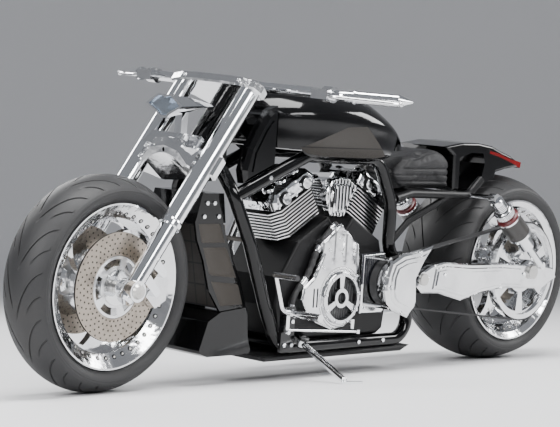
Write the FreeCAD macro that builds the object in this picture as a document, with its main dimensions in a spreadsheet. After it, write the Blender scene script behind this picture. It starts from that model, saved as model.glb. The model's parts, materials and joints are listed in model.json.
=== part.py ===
"""A long, low custom chopper motorcycle with a 60 degree V-twin, leaning on its side stand.

Everything is modelled upright in the motorcycle's own frame: +X forward, +Y to the rider's left, +Z up,
the origin on the ground under the rear axle. Each piece is then placed leaning on the side stand.
Lengths are millimetres and angles are degrees.
"""
import FreeCAD, Part
import math
import os

import Sketcher
from FreeCAD import Placement, Rotation, Vector

os.makedirs("parts", exist_ok=True)
doc = FreeCAD.newDocument("chopper")
sheet = doc.addObject("Spreadsheet::Sheet", "sizes")

SIZES = {
    # Stance
    "wheelbase": 1800.0, "lean_angle": 5.76, "rake_angle": 36.5, "fork_offset": 55.0,
    "rest_steer": 3.0, "seat_gap": 0.3, "moving_gap": 6.0, "pin_gap": 0.05,
    # Front tyre and wheel
    "front_tyre_radius": 318.2, "front_tyre_width": 170.0, "front_tyre_crown": 126.0,
    "front_flange_radius": 242.3, "front_rim_width": 136.0, "front_bead_radius": 229.0,
    "front_well_radius": 206.0, "front_rim_wall": 8.0, "front_web": 22.0,
    "front_hub_radius": 52.0, "front_hub_width": 110.0, "front_spokes": 5,
    "front_disc_radius": 160.0, "front_disc_inner": 88.0, "front_disc_thick": 5.0, "front_disc_place": 72.0,
    "front_axle_radius": 12.5,
    # Rear tyre and wheel
    "rear_tyre_radius": 325.0, "rear_tyre_width": 280.0, "rear_tyre_crown": 260.0,
    "rear_flange_radius": 244.5, "rear_rim_width": 256.0, "rear_bead_radius": 231.0,
    "rear_well_radius": 206.0, "rear_rim_wall": 9.0, "rear_web": 26.0,
    "rear_hub_radius": 60.0, "rear_spokes": 5, "rear_axle_radius": 12.5,
    "rear_disc_radius": 130.0, "rear_disc_thick": 6.0, "tyre_wall": 16.0,
    # Belt drive
    "pulley_radius": 168.0, "pulley_rim": 16.0, "belt_place": 164.0, "belt_width": 28.0, "belt_thick": 5.0,
    "drive_pulley_radius": 72.0, "drive_pulley_x": 700.0, "drive_pulley_z": 306.0,
    # Fork and its clamps, in the fork's own frame from the axle upwards
    "leg_spacing": 135.0, "slider_radius": 27.0, "slider_top": 226.0, "leg_radius": 31.0, "leg_top": 748.0,
    "lower_clamp_low": 425.0, "lower_clamp_high": 492.0, "upper_clamp_low": 716.0, "upper_clamp_high": 748.0,
    "clamp_nose": 64.0,
    "stem_radius": 17.0,
    # Handlebar
    "bar_behind": 525.0, "bar_z": 915.0, "bar_radius": 16.0, "bar_half": 415.0, "bar_back_angle": 35.0,
    "grip_length": 132.0,
    "grip_radius": 18.5, "grip_tip": 42.0, "lever_gap": 46.0,
    # Headlamp
    "lamp_width": 152.0, "lamp_height": 80.0, "lamp_depth": 186.0, "lamp_behind": 210.0, "lamp_z": 845.0,
    "bezel_depth": 12.0,
    # Frame tubes
    "head_tube_radius": 36.0, "backbone_radius": 30.0, "tube_radius": 21.0, "strut_radius": 14.0,
    "core_half": 96.0, "rail_spacing": 140.0, "upper_rail_spacing": 124.0, "rail_height": 115.0,
    "backbone_clear": 36.2,
    "pivot_x": 585.0, "pivot_z": 318.0, "pivot_radius": 16.0,
    # Engine
    "crank_x": 895.0, "crank_z": 262.0, "bank_angle": 30.0, "case_half_width": 118.0,
    "fin_start": 262.0, "fin_pitch": 11.0, "fin_thick": 4.5, "fin_count": 9, "fin_length": 206.0,
    "fin_depth": 164.0, "barrel_radius": 62.0, "rocker_height": 58.0, "rocker_length": 204.0,
    "rocker_depth": 176.0,
    # Stand
    "stand_pivot_x": 1112.0, "stand_pivot_y": 182.0, "stand_pivot_z": 134.0,
    "stand_foot_x": 1140.0, "stand_foot_y": 392.0, "peg_radius": 12.0, "stand_radius": 11.0,
    # Tail
    "tail_half_width": 104.0,
    # Tank
    "panel_depth": 7.0,
    # Swinging arm
    "arm_inner": 184.0, "arm_thick": 27.0, "arm_step": 4.0,
}

for row, (alias, value) in enumerate(SIZES.items(), start=1):
    sheet.set(f"A{row}", str(value))
    sheet.setAlias(f"A{row}", alias)
doc.recompute()


class Size:
    """A length or angle that knows its value and the sheet formula that gives it."""

    def __init__(self, value, formula):
        self.value = float(value)
        self.formula = formula

    def __add__(self, other):
        other = as_size(other)
        return Size(self.value + other.value, f"({self.formula} + {other.formula})")

    def __sub__(self, other):
        other = as_size(other)
        return Size(self.value - other.value, f"({self.formula} - {other.formula})")

    def __mul__(self, other):
        other = as_size(other)
        return Size(self.value * other.value, f"({self.formula} * {other.formula})")

    def __truediv__(self, other):
        other = as_size(other)
        return Size(self.value / other.value, f"({self.formula} / {other.formula})")

    def __neg__(self):
        return Size(-self.value, f"(0 - {self.formula})")

    def __float__(self):
        return self.value

    def __radd__(self, other):
        return as_size(other) + self

    def __rsub__(self, other):
        return as_size(other) - self

    def __rmul__(self, other):
        return as_size(other) * self


def as_size(number):
    """Return number as a Size; a plain number becomes a constant in the formula."""
    if isinstance(number, Size):
        return number
    return Size(number, f"({float(number):.6f})")


def cosine(angle):
    """Return the cosine of an angle in degrees."""
    return Size(math.cos(math.radians(angle.value)), f"cos({angle.formula} * 1 deg)")


def sine(angle):
    """Return the sine of an angle in degrees."""
    return Size(math.sin(math.radians(angle.value)), f"sin({angle.formula} * 1 deg)")


class Sizes:
    """The sheet's sizes by name."""

    def __getattr__(self, alias):
        return Size(float(sheet.get(alias)), f"sizes.{alias}")


s = Sizes()
PIECES = {}
LEAN = Placement(Vector(0, 0, 0), Rotation(Vector(1, 0, 0), -s.lean_angle.value))


def new_body(label):
    """Start a body that may hold several solids."""
    body = doc.addObject("PartDesign::Body", label)
    body.Label = label
    body.AllowCompound = True
    return body


def new_sketch(body, role, offset=0.0):
    """Add a sketch on one of the body's own planes, moved along the plane's normal by offset."""
    sketch = body.newObject("Sketcher::SketchObject", "outline")
    plane = [feature for feature in body.Origin.OriginFeatures if feature.Role == role][0]
    sketch.AttachmentSupport = [(plane, "")]
    sketch.MapMode = "FlatFace"
    offset = as_size(offset)
    sketch.AttachmentOffset = Placement(Vector(0, 0, offset.value), Rotation())
    sketch.setExpression("AttachmentOffset.Base.z", offset.formula)
    return sketch


def pin_point(sketch, geometry, end, x, y):
    """Tie one point of a sketch to its place from the origin."""
    for kind, size in (("DistanceX", x), ("DistanceY", y)):
        size = as_size(size)
        index = sketch.addConstraint(Sketcher.Constraint(kind, -1, 1, geometry, end, size.value))
        sketch.setExpression(f"Constraints[{index}]", size.formula)


def draw_outline(sketch, points):
    """Draw a closed outline; a point marked "arc" is the middle of an arc between its neighbours."""
    corners = [Vector(float(p[0]), float(p[1]), 0) for p in points]
    start = next(i for i, p in enumerate(points) if len(p) == 2)
    order = [(start + i) % len(points) for i in range(len(points))]
    edges = []
    step = 0
    while step < len(order):
        here = order[step]
        after = order[(step + 1) % len(order)]
        if len(points[after]) == 3:
            end = order[(step + 2) % len(order)]
            turn = (corners[after] - corners[here]).cross(corners[end] - corners[after]).z
            ends = (corners[here], corners[end]) if turn > 0 else (corners[end], corners[here])
            edge = sketch.addGeometry(Part.Arc(ends[0], corners[after], ends[1]), False)
            first = 1 if turn > 0 else 2
            edges.append((edge, first, 3 - first, here, after))
            step += 2
        else:
            edge = sketch.addGeometry(Part.LineSegment(corners[here], corners[after]), False)
            edges.append((edge, 1, 2, here, None))
            step += 1
    for number, (edge, first, last, here, middle) in enumerate(edges):
        following, follow_first, _, _, _ = edges[(number + 1) % len(edges)]
        sketch.addConstraint(Sketcher.Constraint("Coincident", edge, last, following, follow_first))
        pin_point(sketch, edge, first, points[here][0], points[here][1])
        if middle is not None:
            mark = sketch.addGeometry(Part.Point(corners[middle]), True)
            sketch.addConstraint(Sketcher.Constraint("PointOnObject", mark, 1, edge))
            pin_point(sketch, mark, 1, points[middle][0], points[middle][1])


def draw_circle(sketch, x, y, radius):
    """Draw a circle tied to its centre and radius."""
    x, y, radius = as_size(x), as_size(y), as_size(radius)
    centre = Vector(x.value, y.value, 0)
    circle = sketch.addGeometry(Part.Circle(centre, Vector(0, 0, 1), radius.value), False)
    pin_point(sketch, circle, 3, x, y)
    index = sketch.addConstraint(Sketcher.Constraint("Radius", circle, radius.value))
    sketch.setExpression(f"Constraints[{index}]", radius.formula)


def add_pad(body, sketch, length, symmetric=False, backwards=False):
    """Pad a sketch along its normal."""
    pad = body.newObject("PartDesign::Pad", "pad")
    pad.Profile = sketch
    pad.Type = "Length"
    pad.SideType = "Symmetric" if symmetric else "One side"
    pad.Reversed = backwards
    length = as_size(length)
    pad.Length = length.value
    pad.setExpression("Length", length.formula)
    body.Tip = pad
    return pad


def add_pocket(body, sketch, length, symmetric=False, backwards=False):
    """Cut a sketch out of the body and make sure that it removes material."""
    doc.recompute()
    before = body.Shape.Volume
    pocket = body.newObject("PartDesign::Pocket", "pocket")
    pocket.Profile = sketch
    pocket.Type = "Length"
    pocket.SideType = "Symmetric" if symmetric else "One side"
    pocket.Reversed = backwards
    length = as_size(length)
    pocket.Length = length.value
    pocket.setExpression("Length", length.formula)
    body.Tip = pocket
    doc.recompute()
    if body.Shape.Volume >= before:
        raise RuntimeError(f"a pocket of {body.Label} removed nothing")
    return pocket


def add_revolution(body, sketch, axis="V_Axis"):
    """Turn a sketch once round one of its own axes."""
    turned = body.newObject("PartDesign::Revolution", "turned")
    turned.Profile = sketch
    turned.ReferenceAxis = (sketch, [axis])
    turned.Angle = 360.0
    body.Tip = turned
    return turned


def repeat_round(body, features, axis_role, count):
    """Repeat features round one of the body's own axes."""
    pattern = body.newObject("PartDesign::PolarPattern", "repeated")
    pattern.Originals = features
    axis = [feature for feature in body.Origin.OriginFeatures if feature.Role == axis_role][0]
    pattern.Axis = (axis, [""])
    pattern.Angle = 360.0
    count = as_size(count)
    pattern.Occurrences = int(count.value)
    pattern.setExpression("Occurrences", count.formula)
    body.Tip = pattern
    return pattern


def mirror_across(body, features, role="XZ_Plane"):
    """Mirror features across one of the body's own planes."""
    mirrored = body.newObject("PartDesign::Mirrored", "mirrored")
    mirrored.Originals = features
    plane = [feature for feature in body.Origin.OriginFeatures if feature.Role == role][0]
    mirrored.MirrorPlane = (plane, [""])
    body.Tip = mirrored
    return mirrored


def soften(body, radius, chooser, chamfer=False):
    """Round or bevel the edges of the body's tip that the chooser accepts."""
    doc.recompute()
    tip = body.Tip
    names = [f"Edge{i}" for i, edge in enumerate(tip.Shape.Edges, start=1) if chooser(edge)]
    if not names:
        raise RuntimeError(f"no edge of {body.Label} was chosen to soften")
    kind = "PartDesign::Chamfer" if chamfer else "PartDesign::Fillet"
    softened = body.newObject(kind, "softened")
    softened.Base = (tip, names)
    radius = as_size(radius)
    property_name = "Size" if chamfer else "Radius"
    setattr(softened, property_name, radius.value)
    softened.setExpression(property_name, radius.formula)
    body.Tip = softened
    doc.recompute()
    return softened


def runs_along(direction):
    """Choose the straight edges that run along a direction."""
    def chooser(edge):
        if edge.Curve.TypeId != "Part::GeomLine":
            return False
        return abs(abs(edge.Curve.Direction.dot(direction)) - 1) < 1e-6
    return chooser


def lies_flat(axis, *places):
    """Choose the edges that lie whole in a plane where one coordinate (0, 1 or 2) is one of places."""
    def chooser(edge):
        box = edge.BoundBox
        low = (box.XMin, box.YMin, box.ZMin)[axis]
        high = (box.XMax, box.YMax, box.ZMax)[axis]
        return any(abs(low - float(place)) < 0.01 and abs(high - float(place)) < 0.01 for place in places)
    return chooser


def finish(label, item, placement=None):
    """Place a finished piece, leaning with the motorcycle, and remember it by its label."""
    item.Label = label
    item.Placement = LEAN.multiply(placement or Placement())
    PIECES[label] = item


def shape_piece(label, shape, placement=None):
    """Hold a shape that was built from the sheet's sizes as a piece of the document."""
    item = doc.addObject("Part::Feature", label)
    item.Shape = shape
    finish(label, item, placement)
    return item


def side_plate(body, points, near, far):
    """Pad an outline drawn in the side view from Y = near to Y = far."""
    sketch = new_sketch(body, "XZ_Plane", -as_size(near))
    draw_outline(sketch, points)
    return add_pad(body, sketch, as_size(far) - as_size(near), backwards=True)


def tube_path(points, bend):
    """Return a wire through points in which each corner is an arc of the bend radius."""
    corners = [Vector(*[float(c) for c in p]) for p in points]
    edges = []
    last = corners[0]
    for before, corner, after in zip(corners, corners[1:], corners[2:]):
        inward = (before - corner).normalize()
        outward = (after - corner).normalize()
        half_turn = (math.pi - inward.getAngle(outward)) / 2
        reach = float(bend) * math.tan(half_turn)
        room = 0.48 * min((before - corner).Length, (after - corner).Length)
        reach = min(reach, room)
        radius = reach / math.tan(half_turn)
        middle_way = (inward + outward).normalize()
        middle = corner + middle_way * (radius / math.cos(half_turn) - radius)
        first = corner + inward * reach
        second = corner + outward * reach
        edges.append(Part.LineSegment(last, first).toShape())
        edges.append(Part.Arc(first, middle, second).toShape())
        last = second
    edges.append(Part.LineSegment(last, corners[-1]).toShape())
    return Part.Wire(edges)


def tube(points, radius, bend=60.0):
    """Return a solid round bar along a path of straight runs and arcs."""
    path = tube_path(points, bend)
    start = path.Edges[0].valueAt(path.Edges[0].FirstParameter)
    heading = path.Edges[0].tangentAt(path.Edges[0].FirstParameter)
    ring = Part.Wire([Part.makeCircle(float(radius), start, heading)])
    return path.makePipeShell([ring], True, False)


def both_sides(shape):
    """Return a shape together with its mirror image across the middle plane."""
    return [shape, shape.mirror(Vector(0, 0, 0), Vector(0, 1, 0))]


def fuse_all(shapes):
    """Join shapes into one."""
    joined = shapes[0]
    for shape in shapes[1:]:
        joined = joined.fuse(shape)
    return joined


def largest_solid(shape):
    """Return the largest of a shape's solids, without the specks that a cut can leave."""
    return max(shape.Solids, key=lambda solid: solid.Volume)


def rod(start, end, radius):
    """Return a cylinder from one point to another."""
    start = Vector(*[float(c) for c in start])
    end = Vector(*[float(c) for c in end])
    return Part.makeCylinder(float(radius), (end - start).Length, start, end - start)


def block(low, high):
    """Return a box between two opposite corners."""
    low = Vector(*[float(c) for c in low])
    span = Vector(*[float(c) for c in high]) - low
    return Part.makeBox(span.x, span.y, span.z, low)


# Where the axles, the fork and the steering axis are. A leaning tyre touches the ground beside its middle,
# so each axle stands a little higher than the tyre's radius.
FRONT_HEIGHT = s.front_tyre_radius + s.front_tyre_crown * (as_size(1) / cosine(s.lean_angle) - 1)
REAR_HEIGHT = s.rear_tyre_radius + s.rear_tyre_crown * (as_size(1) / cosine(s.lean_angle) - 1)
FRONT_AXLE = Vector(s.wheelbase.value, 0, FRONT_HEIGHT.value)
REAR_AXLE = Vector(0, 0, REAR_HEIGHT.value)
RAKE = Rotation(Vector(0, 1, 0), -s.rake_angle.value)
UP_FORK = RAKE.multVec(Vector(0, 0, 1))
STEER_POINT = FRONT_AXLE - RAKE.multVec(Vector(s.fork_offset.value, 0, 0))
STEER_TURN = Placement(Vector(0, 0, 0), Rotation(UP_FORK, s.rest_steer.value), STEER_POINT)
FORK_FRAME = STEER_TURN.multiply(Placement(FRONT_AXLE, RAKE))
FRONT_WHEEL_FRAME = STEER_TURN.multiply(Placement(FRONT_AXLE, Rotation()))
REAR_WHEEL_FRAME = Placement(REAR_AXLE, Rotation())


def steering_line(height):
    """Return the point of the steering axis at a height up the fork from the axle."""
    return STEER_POINT + UP_FORK * float(height)


def build_tyre(label, radius, width, crown, bead, flange, rim_width, frame):
    """Turn a hollow tyre: an arched tread and bulged walls down to beads that sit on the rim."""
    body = new_body(label)
    sketch = new_sketch(body, "XY_Plane")
    edge = width / 2
    drop = crown - Size(math.sqrt(crown.value ** 2 - edge.value ** 2),
                        f"sqrt({crown.formula} ^ 2 - {edge.formula} ^ 2)")
    shoulder = radius - drop
    wall = s.tyre_wall
    seat = bead + s.seat_gap
    foot = rim_width / 2 - s.seat_gap
    bulge = shoulder - (shoulder - seat) * 0.45
    outer = [(radius, 0, "arc"), (shoulder, edge), ((shoulder + flange + 2) / 2, edge + wall * 0.12, "arc"),
             (flange + 2, foot), (seat, foot)]
    inner = [(seat, foot - wall), (bulge, edge - wall, "arc"), (shoulder - wall, edge - wall),
             (radius - wall, 0, "arc")]
    mirrored_inner = [(r, -y) + tuple(rest) for r, y, *rest in reversed(inner[:-1])]
    mirrored_outer = [(r, -y) + tuple(rest) for r, y, *rest in reversed(outer[1:])]
    draw_outline(sketch, outer + inner + mirrored_inner + mirrored_outer)
    add_revolution(body, sketch)
    finish(label, body, frame)


def build_rim(label, flange, width, bead, well, wall, web, hub, hub_width, spokes, bore, frame, web_place):
    """Turn a wheel with a dropped well, a web and a hub, and cut swept windows between its spokes."""
    body = new_body(label)
    sketch = new_sketch(body, "XY_Plane")
    edge = width / 2
    lip = wall
    barrel = well - wall
    near, far = web_place + web / 2, web_place - web / 2
    draw_outline(sketch, [
        (bore, hub_width / 2), (hub, hub_width / 2), (hub, near), (barrel, near), (barrel, edge * 0.72),
        (bead - wall, edge - lip * 0.4), (flange - wall * 0.6, edge + lip), (flange, edge + lip),
        (flange, edge), (bead, edge), (bead, edge * 0.72), (well, edge * 0.5), (well, -edge * 0.5),
        (bead, -edge * 0.72), (bead, -edge), (flange, -edge), (flange, -edge - lip),
        (flange - wall * 0.6, -edge - lip), (bead - wall, -edge + lip * 0.4), (barrel, -edge * 0.72),
        (barrel, far), (hub, far), (hub, -hub_width / 2), (bore, -hub_width / 2)])
    add_revolution(body, sketch)
    window = new_sketch(body, "XZ_Plane")
    half = 180.0 / spokes.value
    inner, outer = hub + 16, barrel - 14
    sweep = 24.0
    draw_outline(window, [
        ring_point(inner, -half * 0.45), ring_point(inner, 0) + ("arc",), ring_point(inner, half * 0.45),
        ring_point((inner + outer) / 2, half * 0.62 + sweep * 0.35) + ("arc",),
        ring_point(outer, half * 0.72 + sweep), ring_point(outer, sweep) + ("arc",),
        ring_point(outer, -half * 0.72 + sweep),
        ring_point((inner + outer) / 2, -half * 0.62 + sweep * 0.35) + ("arc",)])
    cut = add_pocket(body, window, width * 2, symmetric=True)
    repeat_round(body, [cut], "Y_Axis", spokes)
    finish(label, body, frame)


def ring_point(radius, angle):
    """Return the point of a circle round the origin at an angle in degrees, as two sizes."""
    turn = math.radians(angle)
    return (radius * math.cos(turn), radius * math.sin(turn))


def build_front_discs():
    """Two brake discs, each a ring on slim arms that seats round the hub."""
    body = new_body("front_discs")
    for place in (-s.front_disc_place, s.front_disc_place + s.front_disc_thick):
        sketch = new_sketch(body, "XZ_Plane", place)
        draw_circle(sketch, 0, 0, s.front_disc_radius)
        draw_circle(sketch, 0, 0, s.front_hub_radius + s.seat_gap)
        add_pad(body, sketch, s.front_disc_thick, backwards=True)
    window = new_sketch(body, "XZ_Plane")
    half = 26.0
    inner, outer = s.front_hub_radius + 9, s.front_disc_inner - 6
    draw_outline(window, [
        ring_point(inner, -half), ring_point(inner, 0) + ("arc",), ring_point(inner, half),
        ring_point(outer, half), ring_point(outer, 0) + ("arc",), ring_point(outer, -half)])
    cut = add_pocket(body, window, s.front_disc_place * 4, symmetric=True)
    repeat_round(body, [cut], "Y_Axis", 5)
    finish("front_discs", body, FRONT_WHEEL_FRAME)


def build_wheels():
    """Both wheels, their tyres, the front discs and the belt pulley that the rear wheel carries."""
    build_tyre("front_tyre", s.front_tyre_radius, s.front_tyre_width, s.front_tyre_crown,
               s.front_bead_radius, s.front_flange_radius, s.front_rim_width, FRONT_WHEEL_FRAME)
    build_tyre("rear_tyre", s.rear_tyre_radius, s.rear_tyre_width, s.rear_tyre_crown,
               s.rear_bead_radius, s.rear_flange_radius, s.rear_rim_width, REAR_WHEEL_FRAME)
    bore = s.front_axle_radius + s.pin_gap
    build_rim("front_rim", s.front_flange_radius, s.front_rim_width, s.front_bead_radius,
              s.front_well_radius, s.front_rim_wall, s.front_web, s.front_hub_radius,
               s.front_hub_width * 1.45,
              s.front_spokes, bore, FRONT_WHEEL_FRAME, as_size(0))
    build_rim("rear_rim", s.rear_flange_radius, s.rear_rim_width, s.rear_bead_radius,
              s.rear_well_radius, s.rear_rim_wall, s.rear_web, s.rear_hub_radius, s.rear_rim_width + 30,
              s.rear_spokes, s.rear_axle_radius + s.pin_gap, REAR_WHEEL_FRAME, as_size(20))
    build_front_discs()
    build_rear_pulley()


def build_rear_pulley():
    """The belt pulley: a flat rim, a web with windows, and a boss that seats on the rear hub."""
    body = new_body("rear_pulley")
    near = s.rear_rim_width / 2 + 15 + s.seat_gap
    sketch = new_sketch(body, "XY_Plane")
    middle = s.belt_place
    rim_inner = s.pulley_radius - s.pulley_rim
    draw_outline(sketch, [
        (s.rear_axle_radius + s.pin_gap, near), (s.rear_hub_radius, near), (s.rear_hub_radius, middle - 6),
        (rim_inner, middle - 6), (rim_inner, middle - 15), (s.pulley_radius, middle - 15),
        (s.pulley_radius, middle + 15), (rim_inner, middle + 15), (rim_inner, middle + 6),
        (s.rear_hub_radius, middle + 6), (s.rear_hub_radius, middle + 15),
        (s.rear_axle_radius + s.pin_gap, middle + 15)])
    add_revolution(body, sketch)
    window = new_sketch(body, "XZ_Plane")
    half = 22.0
    inner, outer = s.rear_hub_radius + 14, rim_inner - 10
    draw_outline(window, [
        ring_point(inner, -half), ring_point(inner, 0) + ("arc",), ring_point(inner, half),
        ring_point(outer, half), ring_point(outer, 0) + ("arc",), ring_point(outer, -half)])
    cut = add_pocket(body, window, s.belt_place * 3, symmetric=True)
    repeat_round(body, [cut], "Y_Axis", 6)
    finish("rear_pulley", body, REAR_WHEEL_FRAME)


def build_fork_legs():
    """Two upside-down fork legs with axle clamps and lugs that carry the calipers."""
    body = new_body("fork_legs")
    sketch = new_sketch(body, "XZ_Plane", -s.leg_spacing)
    collar = s.leg_radius + 3
    draw_outline(sketch, [
        (0, -40), (s.slider_radius - 6, -40), (s.slider_radius, -30), (s.slider_radius, s.slider_top),
        (collar, s.slider_top), (collar, s.slider_top + 14), (s.leg_radius, s.slider_top + 20),
        (s.leg_radius, s.leg_top), (s.leg_radius - 7, s.leg_top + 5), (0, s.leg_top + 5)])
    leg = add_revolution(body, sketch)
    clamp = new_sketch(body, "XZ_Plane", -(s.leg_spacing + s.slider_radius + 5))
    draw_circle(clamp, 0, 0, s.slider_radius + 4)
    boss = add_pad(body, clamp, s.slider_radius * 2 + 10)
    lug = new_sketch(body, "XZ_Plane", -(s.leg_spacing - s.slider_radius + 14))
    draw_outline(lug, [(-6, 58), (-112, 48), (-120, 58), (-112, 72), (-6, 92)])
    draw_outline(lug, [(-6, 104), (-98, 108), (-106, 118), (-98, 130), (-6, 146)])
    lugs = add_pad(body, lug, 16)
    mirror_across(body, [leg, boss, lugs])
    bore = new_sketch(body, "XZ_Plane", 0)
    draw_circle(bore, 0, 0, s.front_axle_radius + s.pin_gap)
    add_pocket(body, bore, s.leg_spacing * 4, symmetric=True)
    finish("fork_legs", body, FORK_FRAME)


def clamp_outline(reach_front, reach_back, side, nose):
    """Return the faceted plan of a fork clamp, wide round the legs and narrower at its nose."""
    half = [(reach_front, nose), (reach_front - 4, s.leg_spacing - 10), (reach_front - 18, side - 8),
            (0, side + 2), (-30, side - 8), (-46, s.leg_spacing - 12), (reach_back, 44)]
    return half + [(x, -y) for x, y in reversed(half)]


def saddle_outline(reach_front, reach_back, nose):
    """Return the plan of the lower clamp: a pointed nose, and arms that hold the legs from behind."""
    tip = [(reach_front, 0)]
    half = [(reach_front - 9, nose), (24, s.leg_spacing - s.leg_radius), (22, s.leg_spacing - 8),
            (-10, s.leg_spacing + s.leg_radius + 8), (-36, s.leg_spacing + s.leg_radius),
            (-46, s.leg_spacing - 12), (reach_back, 44)]
    return tip + half + [(x, -y) for x, y in reversed(half)]


def build_clamp(label, outline, low, high):
    """Start a polished clamp block, bevelled top and bottom, with a hole for each leg."""
    body = new_body(label)
    sketch = new_sketch(body, "XY_Plane", low)
    draw_outline(sketch, outline)
    add_pad(body, sketch, high - low)
    soften(body, 5, lies_flat(2, high, low), chamfer=True)
    return body


def bore_clamp(body, low, high, with_stem_hole):
    """Bore a clamp for the legs, and for the steering stem where it fits over one."""
    holes = new_sketch(body, "XY_Plane", low)
    for place in (s.leg_spacing, -s.leg_spacing):
        draw_circle(holes, 0, place, s.leg_radius + s.pin_gap)
    if with_stem_hole:
        draw_circle(holes, -s.fork_offset, 0, s.stem_radius + s.pin_gap)
    add_pocket(body, holes, high - low, backwards=True)


def build_clamps():
    """The lower clamp has a pointed nose and carries the steering stem; the upper clamp fits over it."""
    low, high = s.lower_clamp_low, s.lower_clamp_high
    front = s.clamp_nose
    body = build_clamp("lower_clamp", saddle_outline(front, -88, 58), low - 8, high)
    crest = new_sketch(body, "XZ_Plane", s.leg_radius - s.leg_spacing + 2)
    back = s.leg_radius - 6
    draw_outline(crest, [(back, high - 12), (front - 9, high - 26),
                         (front - 20, high + 26), (back, high + 26)])
    add_pad(body, crest, (s.leg_spacing - s.leg_radius - 2) * 2)
    under = new_sketch(body, "XZ_Plane", s.leg_radius - s.leg_spacing)
    draw_outline(under, [(front + 4, high - 30), (front + 4, low - 12), (back - 4, low - 12)])
    add_pocket(body, under, (s.leg_spacing - s.leg_radius) * 2, backwards=True)
    arch = new_sketch(body, "YZ_Plane", -100)
    draw_outline(arch, [(-76, low - 14), (-76, low - 8), (0, low + 16, "arc"), (76, low - 8), (76, low - 14)])
    add_pocket(body, arch, front + 110, backwards=True)
    hole = new_sketch(body, "YZ_Plane", front + 2)
    draw_circle(hole, 0, high - 44, 5)
    add_pocket(body, hole, 40)
    bore_clamp(body, low - 8, high, False)
    stem = new_sketch(body, "XY_Plane", high - 1)
    draw_circle(stem, -s.fork_offset, 0, s.stem_radius)
    add_pad(body, stem, s.upper_clamp_high + 13 - high)
    finish("lower_clamp", body, FORK_FRAME)
    low, high = s.upper_clamp_low, s.upper_clamp_high
    outline = clamp_outline(46, -112, s.leg_spacing + s.leg_radius + 15, 50)
    body = build_clamp("upper_clamp", outline, low, high)
    bore_clamp(body, low, high, True)
    finish("upper_clamp", body, FORK_FRAME)


def bar_frame():
    """Return the upright frame at the middle of the handlebar, turned with the steering."""
    middle = Vector((s.wheelbase - s.bar_behind).value, 0, s.bar_z.value)
    return STEER_TURN.multiply(Placement(middle, Rotation()))


def grip_point(along, ahead=0.0, above=0.0):
    """Return a point beside the left grip: along it from the bend, ahead of it and above it."""
    turn = math.radians(s.bar_back_angle.value)
    along = float(along)
    return Vector(-math.sin(turn) * along + math.cos(turn) * ahead,
                  s.bar_half.value + math.cos(turn) * along + math.sin(turn) * ahead, above)


def build_handlebar():
    """A bent bar on two risers that stand on the upper clamp."""
    end = grip_point(s.grip_length + 34)
    bend = (0, s.bar_half.value, 0)
    bar = tube([(end.x, -end.y, end.z), (0, -bend[1], 0), bend, tuple(end)], s.bar_radius, 60)
    frame = bar_frame()
    top = FORK_FRAME.multVec(Vector(-s.fork_offset.value - 26, 0,
                                    s.upper_clamp_high.value + s.seat_gap.value))
    top = frame.inverse().multVec(top)
    risers = []
    for side in (-48, 48):
        foot = Vector(top.x, side, top.z)
        riser = Part.makeBox(44, 26, 54, Vector(-22, -13, 0))
        riser.Placement = Placement(foot, RAKE)
        risers.append(riser)
    finish_bar = fuse_all([bar] + risers)
    shape_piece("handlebar", finish_bar, frame)


def build_grips():
    """Knurled grips over the bar's ends, each with a faceted point."""
    inner = s.bar_radius + s.pin_gap
    start, end = grip_point(34), grip_point(s.grip_length + 34)
    heading = end - start
    sleeve = Part.makeCylinder(s.grip_radius.value, heading.Length, start, heading)
    sleeve = sleeve.cut(Part.makeCylinder(inner.value, heading.Length, start, heading))
    tip = Part.makeCone(s.grip_radius.value, 3, s.grip_tip.value, end, heading)
    collar = Part.makeCylinder(s.grip_radius.value + 3, 6, start, heading)
    collar = collar.cut(Part.makeCylinder(inner.value, 6, start, heading))
    grip = fuse_all([sleeve, tip, collar])
    shape_piece("grips", Part.makeCompound(both_sides(grip)), bar_frame())


def build_levers():
    """A clamp, a fluid cup and a lever for each hand."""
    ahead = s.lever_gap.value
    inner = s.bar_radius + s.pin_gap
    place = s.bar_half - 66
    start = Vector(0, place.value, 0)
    ring = Part.makeCylinder(s.bar_radius.value + 8, 34, start, Vector(0, 1, 0))
    cup = block((10, place - 14, -14), (48, place + 48, 16))
    lever = tube([(34, place + 20, 0), (44, place + 62, -4), tuple(grip_point(48, ahead, -6)),
                  tuple(grip_point(150, ahead - 6, -8)), tuple(grip_point(176, ahead + 2, -8))], 5.5, 40)
    ball = Part.makeSphere(8, grip_point(176, ahead + 2, -8))
    whole = fuse_all([ring, cup, lever, ball])
    whole = whole.cut(Part.makeCylinder(inner.value, 120, Vector(0, place.value - 30, 0), Vector(0, 1, 0)))
    shape_piece("bar_levers", Part.makeCompound(both_sides(whole)), bar_frame())


def lamp_outline(x, width, height, lift=0.0):
    """Return a wire: the headlamp's shield outline, with a small notch at its top, across X = x."""
    half = [(0.0, 0.30), (0.06, 0.36), (0.19, 0.38), (0.34, 0.20), (0.5, -0.02), (0.34, -0.18),
            (0.19, -0.33), (0.085, -0.5)]
    ring = half + [(-y, z) for y, z in reversed(half[1:])]
    points = [Vector(float(x), y * float(width), z * float(height) + lift) for y, z in ring]
    return Part.makePolygon(points + points[:1])


def lamp_frame():
    """Return the upright frame at the middle of the headlamp's face, turned with the steering."""
    middle = Vector((s.wheelbase - s.lamp_behind).value, 0, s.lamp_z.value)
    return STEER_TURN.multiply(Placement(middle, Rotation()))


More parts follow.
